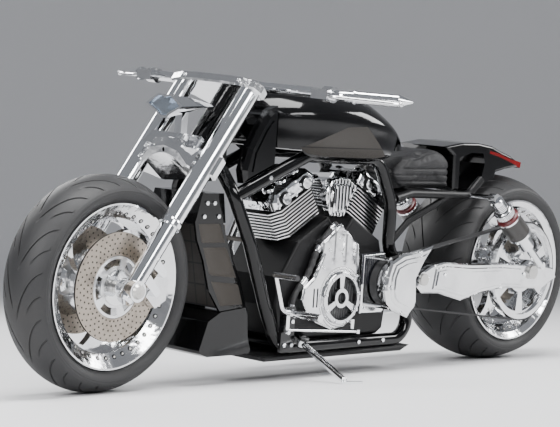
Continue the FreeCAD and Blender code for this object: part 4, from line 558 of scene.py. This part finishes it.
core = Finish(
    "radiator_mesh", (0.058, 0.052, 0.046), (0.08, 0.072, 0.063), metal=0.0, rough=(0.50, 0.66), bump=0.3,
    grained=420.0, patch=8.0)
core_height, core_across = core.along(UPWARD, CORE_CORNER), core.along(ACROSS, CORE_CORNER)
bars = (core_across % CELL_WIDTH).below(BAR) | (core_height % CELL_HEIGHT).below(BAR)
core_fins = core_height.wave(FINS)
# Painted shade: the troughs between the fins are darkened.
core.repaint(core_fins.below(-0.5), (0.035, 0.031, 0.028))
core.repaint(bars, DARK_PAINT_AND_SHADE, 0.4)
core.emboss(core_fins, 0.5, 0.001)
dress(core, "radiator_core")


# The lamps' lenses: the headlamp's is clear glass with a faint blue tint, and the tail lamp's is red plastic,
# both moulded smooth and pressed into their shells.
clear_lens = Finish(
    "clear_lens", (0.75, 0.84, 0.95), (0.72, 0.80, 0.9), metal=0.0, rough=(0.03, 0.06), bump=0.02,
    grained=200.0, patch=8.0)
feed(clear_lens.surface["Transmission Weight"], 0.9)
dress(clear_lens, "headlamp_lens")
red_lens = Finish(
    "red_lens", (0.17, 0.003, 0.004), (0.13, 0.002, 0.003), metal=0.0, rough=(0.08, 0.12), bump=0.05,
    grained=300.0, patch=8.0)
dress(red_lens, "tail_lamp")


# The tyres: black rubber on 18 inch rims, vulcanised in a mould that gives the crown its long curved rain
# grooves and the side walls their fine rings. The drive belt is of the same rubber.
FRONT_AXLE = np.array(joints["front_wheel_spin"]["pos_m"])
FORK_ACROSS = np.array(joints["front_wheel_spin"]["axis"])
PITCHES, SWEEP_POWER = 14, 1.7
TYRE_WALL, GROOVE_DEPTH, GROOVE_HALF, GROOVE_BANK = 16.0, 3.6, 1.7, 1.1
GROOVE_STARTS = (0.125, 0.375, 0.625, 0.875)
LONG_GROOVE, SHORT_GROOVE = (0.06, 0.08, 0.93, 0.06), (0.46, 0.10, 0.95, 0.05)
MOULD_RINGS = ((0.10, 0.03, 0.9), (0.86, 0.03, -0.9), (0.30, 0.02, 0.5))


def wheel_axes(across):
    """The rows ahead, across and up of a wheel standing on the ground with a given axle direction."""
    ahead = np.cross(across, [0.0, 0.0, 1.0])
    ahead /= np.linalg.norm(ahead)
    return np.stack([ahead, across, np.cross(ahead, across)])


def ring_points(centre, axes, angle, y, r):
    """Points in metres at angles round an axle from the top forwards, y along it and r out from it in
    millimetres: (r sin, y, r cos) of the wheel's own axes."""
    local = np.stack([r * np.sin(angle), y + 0 * angle, r * np.cos(angle)], -1)
    return centre + local / 1000 @ axes


def through(first, middle, last, count):
    """A curve of count points through three points: the parabola that passes them at 0, a half and 1."""
    t = np.linspace(0, 1, count)[:, None]
    first, middle, last = (np.array(p, float) for p in (first, middle, last))
    return first * (1 - t) * (1 - 2 * t) + middle * 4 * t * (1 - t) + last * t * (2 * t - 1)


def groove_reach(size, start, start_run, end, end_run):
    """How deep a groove is at a share of half the width: 1 from start to end, with a straight run at both."""
    return np.clip((size - start) / start_run, 0, 1) * np.clip((end - size) / end_run, 0, 1)


def grooved_tyre(name, centre, axes, radius, width, crown, flange, foot, bead, sweep):
    """A closed tyre shell on a grid of profile rows by columns round it.
    A column bends round the crown as sweep * (1 - v) ** 1.7 with v the share of half the width, and each
    groove is four such columns: two down in the rubber and two on its banks. The columns spread where
    the bend is steep, so that a groove keeps its width."""
    edge = width / 2
    shoulder = radius - crown + sqrt(crown ** 2 - edge ** 2)
    v = np.linspace(-1, 1, 57)
    tread = np.stack([edge * v, radius - crown + np.sqrt(crown ** 2 - (edge * v) ** 2)], 1)
    flank = through((edge, shoulder), (edge + TYRE_WALL * 0.12, (shoulder + flange + 2) / 2), (foot, flange + 2),
                    26)[1:]
    share = np.linspace(0, 1, len(flank))
    flank[:, 0] += sum(height * (np.abs(share - at) < half) for at, half, height in MOULD_RINGS)
    lining = np.array([(foot, bead + 0.3), (foot - TYRE_WALL, bead + 0.3),
                       (edge - TYRE_WALL, shoulder * 0.6 + bead * 0.4), (edge - TYRE_WALL, shoulder - TYRE_WALL),
                       (edge * 0.5, radius - TYRE_WALL * 1.5), (0, radius - TYRE_WALL)])
    inside = np.concatenate([lining, (lining[:-1] * [-1, 1])[::-1]])
    rows = np.concatenate([tread, flank, inside, (flank * [-1, 1])[::-1]])
    share = np.concatenate([v, np.ones(len(flank)), np.ones(len(inside)), -np.ones(len(flank))])

    pitch = 2 * pi / PITCHES
    half, bank = GROOVE_HALF / radius / pitch, GROOVE_BANK / radius / pitch
    centres = np.repeat(GROOVE_STARTS, 5) + np.tile([0, 0, 0, 0, 0.125], 4)
    spreads = np.tile([-half - bank, -half, half, half + bank, 0.0], 4)
    order = np.argsort(centres + spreads, kind="stable")
    centres, spreads = centres[order], spreads[order]
    down, which = np.tile([0, 1, 1, 0, 0], 4)[order], np.repeat([0, 1, 2, 3], 5)[order]
    lean = 1 - np.abs(share)
    steep = sweep * SWEEP_POWER * lean ** (SWEEP_POWER - 1) * radius / edge
    widen = np.sqrt(1 + steep ** 2)
    angle = (np.arange(PITCHES)[None, :, None] * pitch
             + (centres + spreads * widen[:, None])[:, None, :] * pitch
             + (sweep * lean ** SWEEP_POWER)[:, None, None]).reshape(len(rows), -1)
    size = np.abs(share)
    long, short = groove_reach(size, *LONG_GROOVE), groove_reach(size, *SHORT_GROOVE)
    on_left, on_right = (share > 0) & (size < 1), (share < 0) & (size < 1)
    depth = np.stack([long * on_left, short * on_right, short * on_left, long * on_right], 1)[:, which] * down
    r = rows[:, 1][:, None] - np.tile(depth, (1, PITCHES)) * GROOVE_DEPTH
    y = np.broadcast_to(rows[:, 0][:, None], r.shape)
    tyre = add_mesh(name, ring_points(centre, axes, angle, y, r).reshape(-1, 3),
                    grid_faces(len(rows), r.shape[1], closed_rows=True))
    tyre.data.attributes.new("from_axle", "FLOAT", "POINT").data.foreach_set("value", r.ravel() / 1000)
    return tyre


def join_facing_out(piece):
    """Merge doubled points, turn all faces outwards and smooth only what is nearly flat."""
    mesh = bmesh.new()
    mesh.from_mesh(piece.data)
    bmesh.ops.remove_doubles(mesh, verts=mesh.verts, dist=1e-6)
    bmesh.ops.recalc_face_normals(mesh, faces=mesh.faces)
    mesh.to_mesh(piece.data)
    mesh.free()
    piece.data.set_sharp_from_angle(angle=radians(35))


def fit(piece, finish, body):
    """Close up a piece, give it its finish, and fix it to the body that it moves with."""
    join_facing_out(piece)
    piece.data.materials.append(finish.material)
    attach(piece, body)


rubber = Finish(
    "tyre_rubber", (0.017, 0.017, 0.018), (0.034, 0.033, 0.032), metal=0.0, rough=(0.55, 0.78), bump=0.30,
    grained=700.0, patch=7.0)
moulded = rubber.tree.nodes.new("ShaderNodeAttribute")
moulded.attribute_name = "from_axle"
from_axle = Level(moulded.outputs["Fac"])
rubber.emboss(from_axle.wave(3200.0) * from_axle.spread(0.300, 0.292), 0.25, 0.0003)
dress(rubber, "drive_belt")
front_axes, rear_axes = wheel_axes(FORK_ACROSS), wheel_axes(ACROSS)
front_tyre = grooved_tyre("front_tyre_grooved", FRONT_AXLE, front_axes, radius=318.2, width=170.0, crown=126.0,
                          flange=242.3, foot=67.7, bead=229.0, sweep=0.52)
rear_tyre = grooved_tyre("rear_tyre_grooved", REAR_AXLE, rear_axes, radius=325.0, width=280.0, crown=260.0,
                         flange=244.5, foot=127.7, bead=231.0, sweep=0.62)
for tyre, body, node in ((front_tyre, "front_wheel", "front_tyre"), (rear_tyre, "rear_wheel", "rear_tyre")):
    fit(tyre, rubber, body)
    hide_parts(node)


# The rims' rivets: domed studs of ground steel, forty a side, each pressed through a flat black seat ring into
# the outer slope of the cast rim.
def studs(name, spots, facing, radius, profile, sides=10):
    """Many turned studs in one mesh: rings of a profile of (share of radius, height) at each spot, as
    spot + radius * share * (cos first + sin second) + height * facing."""
    facing = facing / np.linalg.norm(facing, axis=1, keepdims=True)
    helper = np.where(np.abs(facing[:, 2:3]) < 0.9, [[0.0, 0.0, 1.0]], [[1.0, 0.0, 0.0]])
    first = np.cross(helper, facing)
    first /= np.linalg.norm(first, axis=1, keepdims=True)
    second = np.cross(facing, first)
    around = np.linspace(0, 2 * np.pi, sides, endpoint=False)[None, :, None]
    share, height = np.array(profile, float).T[:, None, :, None, None]
    circle = np.cos(around) * first[:, None, :] + np.sin(around) * second[:, None, :]
    points = (spots[:, None, None, :] + radius * share * circle[:, None] + height * facing[:, None, None, :])
    bases = np.arange(len(spots)) * len(profile) * sides
    quads = grid_faces(len(profile), sides)[None] + bases[:, None, None]
    ends = np.arange(sides)
    caps = [list(base + (len(profile) - 1) * sides + ends) for base in bases]
    feet = [list(base + ends[::-1]) for base in bases]
    return add_mesh(name, points.reshape(-1, 3), quads.reshape(-1, 4).tolist() + caps + feet)


RIVETS_A_SIDE, RIM_WELL, RIM_THICKNESS, FROM_EDGE = 40, 206.0, 8.5, 3.4
RIVET_RADIUS, SEAT_RADIUS = 0.0046, 0.0074
RIVET_SEAT = [(1.0, -0.0015), (1.0, 0.0004), (0.9, 0.0007), (0.3, 0.0007)]
RIVET_DOME = [(1.0, -0.0015), (1.0, 0.0004), (0.86, 0.0015), (0.55, 0.0023), (0.2, 0.0026)]

for name, centre, axes, width, bead, body in (
        ("front_rim_rivets", FRONT_AXLE, front_axes, 136.0, 229.0, "front_wheel"),
        ("rear_rim_rivets", REAR_AXLE, rear_axes, 256.0, 231.0, "rear_wheel")):
    inner = np.array([width / 2 * 0.72, RIM_WELL - RIM_THICKNESS])
    outer = np.array([width / 2 - FROM_EDGE, bead - RIM_THICKNESS])
    middle, slope = inner * 0.45 + outer * 0.55, outer - inner
    out = np.array([slope[1], -slope[0]]) / np.hypot(*slope)
    angle = np.linspace(0, 2 * np.pi, RIVETS_A_SIDE, endpoint=False)
    spots, facing = (
        np.concatenate([ring_points(origin, axes, angle, y * hand, r + 0 * angle) for hand in (1, -1)])
        for origin, (y, r) in ((centre, middle), (np.zeros(3), out)))
    fit(studs(name, spots, facing, RIVET_RADIUS, RIVET_DOME), steel, body)
    fit(studs(name + "_seats", spots, facing, SEAT_RADIUS, RIVET_SEAT), black_satin, body)


# The brake discs' drilled faces: stainless plates ground to a fine ring grain and drilled with staggered rows
# of small holes, bronze-grey from heat. The solid discs beneath are painted dark as shade seen through the holes,
# and the front discs are bolted to bright round carriers.
FACE_THICKNESS, HOLE_RADIUS, CARRIER_RADIUS = 0.9, 3.1, 90.5
FRONT_FACES = [(77.05, 1), (71.95, -1), (-77.05, -1), (-71.95, 1)]
REAR_FACES = [(-149.25, -1), (-143.35, 1)]
FRONT_ROWS, FRONT_HOLES = (92.0, 106.0, 120.0, 134.0, 147.0, 159.6), 40
REAR_ROWS, REAR_HOLES = (76.0, 89.0, 102.0, 115.5, 129.0), 34


def drilled_faces(name, centre, axes, planes, radii, count):
    """Flat rings drilled in staggered rows. Each hole is an eight-sided ring of quads in its own polar cell:
    the cell's corners and sides lie one reach in and out and one step round, and the hole HOLE_RADIUS off."""
    corner = np.array([(-1, -1), (-1, 0), (-1, 1), (0, 1), (1, 1), (1, 0), (1, -1), (0, -1)], float)
    i = np.arange(8)
    j = (i + 1) % 8
    cell = [np.stack([a + i, a + j, b + j, b + i], 1) for a, b in ((0, 8), (8, 24), (24, 16))]
    rims = {0: [[[0, 1, 17, 16], [1, 2, 18, 17]]], len(radii) - 2: [[[4, 5, 21, 20], [5, 6, 22, 21]]]}
    step = np.pi / count
    points, faces = [], []
    for plane, outward in planes:
        for row, (low, high) in enumerate(zip(radii[:-1], radii[1:])):
            middle, reach = (low + high) / 2, (high - low) / 2
            turned = (np.arange(count) + 0.5 * (row % 2)) * 2 * step
            angle = turned[:, None] + corner[None, :, 1] * step
            bearing = np.arctan2(corner[:, 1] * step * middle, corner[:, 0] * reach)
            rings = ((angle, middle + corner[None, :, 0] * reach + 0 * angle),
                     (turned[:, None] + HOLE_RADIUS * np.sin(bearing)[None, :] / middle,
                      middle + HOLE_RADIUS * np.cos(bearing)[None, :] + 0 * angle))
            block = [ring_points(centre, axes, a, y, r) for y in (plane, plane + FACE_THICKNESS * outward)
                     for a, r in rings]
            bases = (len(faces) * count + np.arange(count)) * 32
            points.append(np.concatenate(block, 1).reshape(-1, 3))
            quads = np.concatenate(cell + rims.get(row, []))
            faces.append((quads[None] + bases[:, None, None]).reshape(-1, 4))
    return add_mesh(name, np.concatenate(points), np.concatenate(faces), False)


disc_steel = Finish(
    "heat_tinted_steel", (0.37, 0.325, 0.275), (0.24, 0.21, 0.175), rough=(0.30, 0.45), bump=0.3, grained=900.0,
    patch=18.0)
# Painted shade: the solid discs under the drilled faces are dark so that the holes look deep; the carriers stay
# bright.
disc_core_and_hole_shade = Finish(
    "disc_core_hole_shade", (0.05, 0.045, 0.04), (0.09, 0.08, 0.07), metal=0.6, rough=(0.5, 0.7), bump=0.2,
    grained=900.0, patch=18.0)
from_hub = disc_core_and_hole_shade.along(front_axes[0], FRONT_AXLE).away(disc_core_and_hole_shade.along(front_axes[2], FRONT_AXLE))
disc_core_and_hole_shade.repaint(from_hub.below(CARRIER_RADIUS), (0.80, 0.805, 0.81), 0.12)
dress(disc_core_and_hole_shade, "front_discs", "rear_disc")
fit(drilled_faces("front_disc_faces", FRONT_AXLE, front_axes, FRONT_FACES, FRONT_ROWS, FRONT_HOLES), disc_steel,
    "front_wheel")
fit(drilled_faces("rear_disc_faces", REAR_AXLE, rear_axes, REAR_FACES, REAR_ROWS, REAR_HOLES), disc_steel,
    "rear_wheel")


# The seat: foam under black leather, narrow at the front, laid in stepped layers with sewn creases between
# them, and clipped to the rear frame.
def settle(piece):
    """Replace a piece's mesh by what its modifiers make of it, and take them off."""
    ready = piece.evaluated_get(bpy.context.evaluated_depsgraph_get())
    mesh = bpy.data.meshes.new_from_object(ready)
    piece.modifiers.clear()
    piece.data = mesh


def at_points(piece, kind):
    """What each point of the mesh holds, its place (co) or its facing (normal), as an array."""
    held = np.zeros(len(piece.data.vertices) * 3)
    piece.data.vertices.foreach_get(kind, held)
    return held.reshape(-1, 3)


def in_bike(points):
    """Scene points in metres as millimetres of the upright motorcycle: place turned round."""
    return (points - REAR_AXLE) * 1000 @ BIKE.T + [0, 0, REAR_AXLE_HEIGHT]


def ridge(value, middle, width):
    """A rounded ridge of height 1 where a value is at its middle: exp(-((value - middle) / width) ** 2)."""
    return np.exp(-((value - middle) / width) ** 2)


SEAT_SIDE = [(640, 655), (607, 670), (556, 705), (474, 726), (419, 734), (378, 720), (348, 697), (341, 608.5),
             (470, 608.5), (596, 608.5), (622, 630)]
SEAT_HALF = [(0.0, 1.0), (60.0, 1.0), (94.0, 0.97), (101.0, 0.93), (104.0, 0.86), (105.0, 0.55), (105.0, 0.0)]
SEAT_GRID, SWELL_MOST, PRESSURE = 0.006, 0.006, 4.0
SEAMS_AT, SEAM_DEPTH = (629.0, 650.0, 672.0), 5.0
CREASES_AT, CREASE_DEPTH = (440.0, 500.0, 556.0), 2.6
PIPING_OUT, PIPING_DEPTH, UNDERSIDE = 97.0, 2.0, 604.6

closed_side = np.array(SEAT_SIDE + SEAT_SIDE[:1], float)
steps = np.concatenate([[0], np.cumsum(np.hypot(*np.diff(closed_side, axis=0).T))])
along_side = np.linspace(0, steps[-1], 97)[:-1]
outline = np.stack([np.interp(along_side, steps, closed_side[:, k]) for k in (0, 1)], 1)
middle, stations = outline.mean(0), np.array([(-out, size) for out, size in SEAT_HALF[:0:-1]] + SEAT_HALF)
flat = middle + (outline - middle)[None] * stations[:, 1][:, None, None]
points = np.stack([flat[..., 0], np.repeat(stations[:, :1], len(outline), 1), flat[..., 1]], 2)
seat = add_mesh("seat_cushion", place(points.reshape(-1, 3)), grid_faces(len(stations), len(outline)))
join_facing_out(seat)
voxels = seat.modifiers.new("voxels", "REMESH")
voxels.mode, voxels.voxel_size = "VOXEL", SEAT_GRID
settle(seat)
start = at_points(seat, "co")
filling = seat.modifiers.new("filling", "CLOTH")
filling.settings.use_pressure = True
filling.settings.uniform_pressure_force = PRESSURE
filling.settings.effector_weights.gravity = 0.0
filling.settings.quality = 5
for moment in range(1, 21):
    bpy.context.scene.frame_set(moment)
settle(seat)
shift = at_points(seat, "co") - start
far = np.linalg.norm(shift, axis=1, keepdims=True)
swollen = start + shift * np.minimum(1, SWELL_MOST / np.maximum(far, 1e-9))
bpy.context.scene.frame_set(1)
seat.data.vertices.foreach_set("co", swollen.ravel())
finer = seat.modifiers.new("finer", "SUBSURF")
finer.levels = finer.render_levels = 1
settle(seat)
seat.data.update()
local, facing = in_bike(at_points(seat, "co")), at_points(seat, "normal")
facing_up, out = facing @ UPWARD, np.abs(local[:, 1])
seams = sum(ridge(local[:, 2], level, 3.0) for level in SEAMS_AT) * (1 - np.clip(np.abs(facing_up) * 1.3, 0, 1))
on_top = np.clip((facing_up - 0.5) * 2.5, 0, 1) * np.clip((92 - out) / 20, 0, 1)
creases = sum(ridge(local[:, 0], level, 3.2) for level in CREASES_AT) * on_top
piping = ridge(out, PIPING_OUT, 3.0) * np.clip(facing_up * 2, 0, 1)
depth = SEAM_DEPTH * seams + CREASE_DEPTH * creases + PIPING_DEPTH * piping
local = local - (facing @ BIKE.T) * depth[:, None]
local[:, 2] = np.maximum(local[:, 2], UNDERSIDE)
seat.data.vertices.foreach_set("co", place(local).ravel())
seat.data.polygons.foreach_set("use_smooth", np.full(len(seat.data.polygons), True))
seat.data.update()

leather = Finish(
    "black_leather", (0.011, 0.011, 0.012), (0.022, 0.022, 0.022), metal=0.0, rough=(0.42, 0.6), bump=0.5,
    grained=420.0, patch=8.0)
feed(leather.surface["Specular IOR Level"], 0.28)
hide = leather.tree.nodes.new("ShaderNodeTexVoronoi")
hide.feature = "DISTANCE_TO_EDGE"
feed(hide.inputs["Scale"], 420.0)
feed(hide.inputs["Vector"], leather.place)
leather.emboss(Level(hide.outputs["Distance"]).spread(0.0, 0.25), 0.45, 0.0006)
dress(leather, "seat")
seat.data.materials.append(leather.material)
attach(seat, "frame")
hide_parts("seat")


# The radiator shroud's side openings: pressed brown-grey mesh in black frames, three large cells a side that
# slope down to the rear, each clipped in from behind.
PANEL_POINTS, PANEL_OUT, PANEL_RISE, PANEL_ROUNDING = 13, 105.0, 3.2, 0.09
CELLS, REAR_DROP = ((0.0, 0.30), (0.345, 0.645), (0.69, 0.985)), 0.07
FRONT_EDGE = np.array([(1512, 499), (1500, 452), (1470, 392), (1441, 306), (1398, 243)], float)
REAR_EDGE = np.array([(1419, 500), (1406, 468), (1377, 408), (1329, 318), (1303, 250)], float)


def pressed_panel(corners, hand):
    """A shallow closed dish over four corners (x, z): its height is PANEL_RISE times a rounded step of the
    share u or v that lies nearest an edge, and its back is flat."""
    t = np.linspace(0, 1, PANEL_POINTS)
    u, v = np.meshgrid(t, t, indexing="ij")
    a, b, c, d = (np.array(corner, float) for corner in corners)
    flat = sum(corner * share[..., None]
               for corner, share in ((a, (1 - u) * (1 - v)), (b, (1 - u) * v), (c, u * v), (d, u * (1 - v))))
    edge = np.minimum(np.minimum(u, 1 - u), np.minimum(v, 1 - v))
    height = PANEL_OUT + PANEL_RISE * np.clip(edge / PANEL_ROUNDING, 0, 1) ** 0.5 - 1.0 * (edge < 1e-6)
    front = np.stack([flat[..., 0], hand * height, flat[..., 1]], 2).reshape(-1, 3)
    back = np.stack([flat[..., 0], hand * (PANEL_OUT - 1.0 + 0 * u), flat[..., 1]], 2).reshape(-1, 3)
    quads = grid_faces(PANEL_POINTS, PANEL_POINTS, closed_columns=False)
    return np.concatenate([front, back]), np.concatenate([quads, quads[:, ::-1] + len(front)])


def on_edge(edge, level):
    """The point (x, z) at a level between the ends of an edge, 0 at its top and 1 at its foot."""
    share = np.linspace(0, 1, len(edge))
    return np.interp(level, share, edge[:, 0]), np.interp(level, share, edge[:, 1])


points, faces, count = [], [], 0
for high, low in CELLS:
    behind = [min(level + REAR_DROP, 1) if level else 0.0 for level in (low, high)]
    corners = [on_edge(FRONT_EDGE, high), on_edge(FRONT_EDGE, low)] + [on_edge(REAR_EDGE, at) for at in behind]
    for hand in (1, -1):
        panel, quads = pressed_panel(corners, hand)
        points.append(panel)
        faces.append(quads + count)
        count += len(panel)
fit(add_mesh("shroud_mesh_cells", place(np.concatenate(points)), np.concatenate(faces)), shroud_cloth, "frame")


# Screws: plated socket caps and hexagon heads that hold the covers, caliper halves, clamps and engine plates,
# each set where a straight look along its own axis first meets the casting.
def seated(label, starts, heading):
    """Where looks from starts (metres) along a heading first meet a CAD node, and that heading turned round."""
    looks = [nodes[label].ray_cast(Vector(start), Vector(heading)) for start in starts]
    spots = [tuple(spot) for hit, spot, _, _ in looks if hit]
    return np.array(spots).reshape(-1, 3), np.tile(-np.asarray(heading, float), (len(spots), 1))


def screws(name, body, radius, profile, sides, groups):
    """One mesh of screws from groups of (CAD node, starts in metres, heading)."""
    spots, facing = (np.concatenate(found) for found in zip(*(seated(*group) for group in groups)))
    fit(studs(name, spots, facing, radius, profile, sides), chrome, body)


def circle(x, z, r, count, first=0.0):
    """Pairs (x, z) evenly round a centre: (x + r cos, z + r sin) from the angle first."""
    a = np.linspace(0, 2 * np.pi, count, endpoint=False) + first
    return [(x + r * cos(b), z + r * sin(b)) for b in a]


def beside(pairs, hand=1):
    """Starts well out to one side of the motorcycle for looks straight across it."""
    return place([(x, hand * 400.0, z) for x, z in pairs])


FORK_UP = np.array(joints["steering"]["axis"])
FORK_AHEAD = np.cross(FORK_ACROSS, FORK_UP)
FORK = np.stack([FORK_AHEAD, FORK_ACROSS, FORK_UP])


def place_on_fork(points):
    """Points in millimetres from the front axle along the fork's own axes, as metres of the scene."""
    return FRONT_AXLE + np.asarray(points, float) / 1000 @ FORK


CAP_RADIUS, HEX_RADIUS, FORK_CAP_RADIUS = 0.0052, 0.0075, 0.0060
SOCKET_CAP = [(1.0, -0.0015), (1.0, 0.0036), (0.93, 0.0042), (0.52, 0.0042), (0.50, 0.0022), (0.1, 0.0020)]
HEX_HEAD = [(1.0, -0.0015), (1.0, 0.0040), (0.90, 0.0046), (0.3, 0.0047)]
BANK_SCREWS = ((-84, 372), (84, 372), (-30, 392), (30, 392), (0, 370))
TIMING_SCREWS = circle(915, 262, 77, 9, 0.17) + [(935, 452), (978, 415), (1000, 360), (865, 400), (905, 470),
                                                 (842, 330)]
ARM_SCREWS = [(560, 318), (480, 330), (40, 320), (-70, 345)]
FRAME_SCREWS = [(1300, 560), (1258, 640), (1268, 470), (640, 330), (600, 250), (628, 500)]
LEFT_SCREWS = [(1232, 330), (1190, 130), (700, 118), (820, 118)]

covers = [("timing_cover", beside(TIMING_SCREWS), -ACROSS)]
for bank, lean in BANK_LEAN.items():
    spots = [(895 + up * sin(lean) + over * cos(lean), 262 + up * cos(lean) - over * sin(lean))
             for over, up in BANK_SCREWS]
    covers += [("rocker_cover_" + bank, beside(spots, hand), -hand * ACROSS) for hand in (1, -1)]
screws("cover_screws", "frame", CAP_RADIUS, SOCKET_CAP, 12, covers + [
    ("transmission_case", beside([(680, 225), (790, 225), (680, 385)]), -ACROSS),
    ("pulley_cover", beside([(575, 330), (620, 410), (760, 300), (700, 215)]), -ACROSS),
    ("intake_cover", beside([(812, 620), (978, 620), (895, 535)]), -ACROSS)])
screws("frame_screws", "frame", HEX_RADIUS, HEX_HEAD, 6, [
    ("frame_main", beside(FRAME_SCREWS + LEFT_SCREWS), -ACROSS),
    ("frame_main", beside(FRAME_SCREWS, -1), ACROSS),
    ("foot_controls", beside([(1150, 128), (1182, 128), (1150, 200), (1182, 170)]), -ACROSS),
    ("radiator_shroud", beside([(1430, 520), (1490, 520), (1450, 560), (1480, 560)]), -ACROSS),
    ("swingarm", beside(ARM_SCREWS), -ACROSS),
    ("swingarm", beside(ARM_SCREWS, -1), ACROSS)])
screws("fork_screws", "fork", FORK_CAP_RADIUS, SOCKET_CAP, 12, [
    ("lower_clamp", place_on_fork([(150, y, up) for y in (-112, 112) for up in (436, 474)]), -FORK_AHEAD),
    ("upper_clamp", place_on_fork([(150, y, 732) for y in (-112, 112)]), -FORK_AHEAD),
    ("fork_legs", place_on_fork([(-150.0, y, 4.0) for y in (-135.0, 135.0)]), FORK_AHEAD),
    ("front_calipers", place_on_fork([(-150.0, 250.0, up) for up in (-20.0, 22.0)]), -FORK_ACROSS)])


# The clutch cover: a round polished casting on the engine's right, stepped in rings and held down by nine screws
# round its flange.
CLUTCH_AT, CLUTCH_RADIUS, FLANGE_CIRCLE, FLANGE_HEIGHT, SCREW_RADIUS = (862, 318), 0.098, 91, 0.0112, 0.0046
CLUTCH_STEPS = [(1.0, -0.002), (1.0, 0.009), (0.985, 0.011), (0.87, 0.0115), (0.85, 0.013), (0.84, 0.019),
                (0.81, 0.0215), (0.62, 0.023), (0.60, 0.0215), (0.59, 0.015), (0.37, 0.0145), (0.355, 0.0205),
                (0.33, 0.023), (0.10, 0.0245), (0.02, 0.0246)]

on_case, out_of_case = seated("crankcase", beside([CLUTCH_AT], -1), ACROSS)
fit(studs("clutch_cover", on_case, out_of_case, CLUTCH_RADIUS, CLUTCH_STEPS, 96), polished, "frame")
on_case, out_of_case = seated("crankcase", beside(circle(*CLUTCH_AT, FLANGE_CIRCLE, 9, 0.2), -1), ACROSS)
fit(studs("clutch_screws", on_case + out_of_case * FLANGE_HEIGHT, out_of_case, SCREW_RADIUS, SOCKET_CAP, 12),
    chrome, "frame")


# The coolant pipe: black moulded rubber from the vee down the front of the timing cover, held to the case by
# four plated band clamps.
PIPE_RADIUS, CLAMP_RADIUS, TUBE_SIDES, PIPE_RINGS = 10.0, 11.6, 14, 90
PIPE_KNOTS = np.array([(925, 128, 498), (958, 131, 478), (992, 132, 446), (1020, 132, 408), (1036, 132, 366),
                       (1062, 132, 322), (1098, 132, 290), (1118, 132, 252), (1120, 130, 208)], float)
CLAMPS_AT, CLAMP_SHAPE = (8, 30, 58, 82), np.array([0.96, 1, 1, 1, 1, 1, 0.96])


def tube_along(path, size):
    """A closed tube round a smooth path: each ring is round and square to the path, with its own radius."""
    ahead = np.gradient(path, axis=0)
    ahead /= np.linalg.norm(ahead, axis=1, keepdims=True)
    first = np.cross(ahead, [0.0, 1.0, 0.0])
    first /= np.linalg.norm(first, axis=1, keepdims=True)
    second = np.cross(ahead, first)
    a = np.linspace(0, 2 * np.pi, TUBE_SIDES, endpoint=False)[None, :, None]
    rings = path[:, None] + size[:, None, None] * (np.cos(a) * first[:, None] + np.sin(a) * second[:, None])
    points = np.concatenate([rings.reshape(-1, 3), path[[0, -1]]])
    i = np.arange(TUBE_SIDES)
    j, last = (i + 1) % TUBE_SIDES, (len(path) - 1) * TUBE_SIDES
    ends = np.concatenate([np.stack([i, j, 0 * i + len(points) - 2], 1),
                           np.stack([last + j, last + i, 0 * i + len(points) - 1], 1)])
    return points, grid_faces(len(path), TUBE_SIDES), ends


def add_tubes(name, tubes, finish):
    """One mesh of several tubes, each (path, radii) in millimetres of the upright motorcycle."""
    points, faces, count = [], [], 0
    for path, size in tubes:
        spots, quads, ends = tube_along(path, size)
        points.append(spots)
        faces += (quads + count).tolist() + (ends + count).tolist()
        count += len(spots)
    fit(add_mesh(name, place(np.concatenate(points)), faces), finish, "frame")


run = np.linspace(0, len(PIPE_KNOTS) - 1, PIPE_RINGS)
pipe = np.stack([np.interp(run, np.arange(len(PIPE_KNOTS)), PIPE_KNOTS[:, k]) for k in range(3)], 1)
pipe = np.stack([np.convolve(np.pad(pipe[:, k], 6, "edge"), np.ones(13) / 13, "valid") for k in range(3)], 1)
folded = np.abs(np.linspace(-1, 1, PIPE_RINGS)) < 0.55
folds = 1 + 0.09 * np.sin(np.linspace(0, 26 * np.pi, PIPE_RINGS)) * folded
add_tubes("coolant_pipe", [(pipe, PIPE_RADIUS * folds)], rubber)
add_tubes("coolant_pipe_clamps", [(pipe[at - 3:at + 4], CLAMP_RADIUS * CLAMP_SHAPE) for at in CLAMPS_AT], chrome)
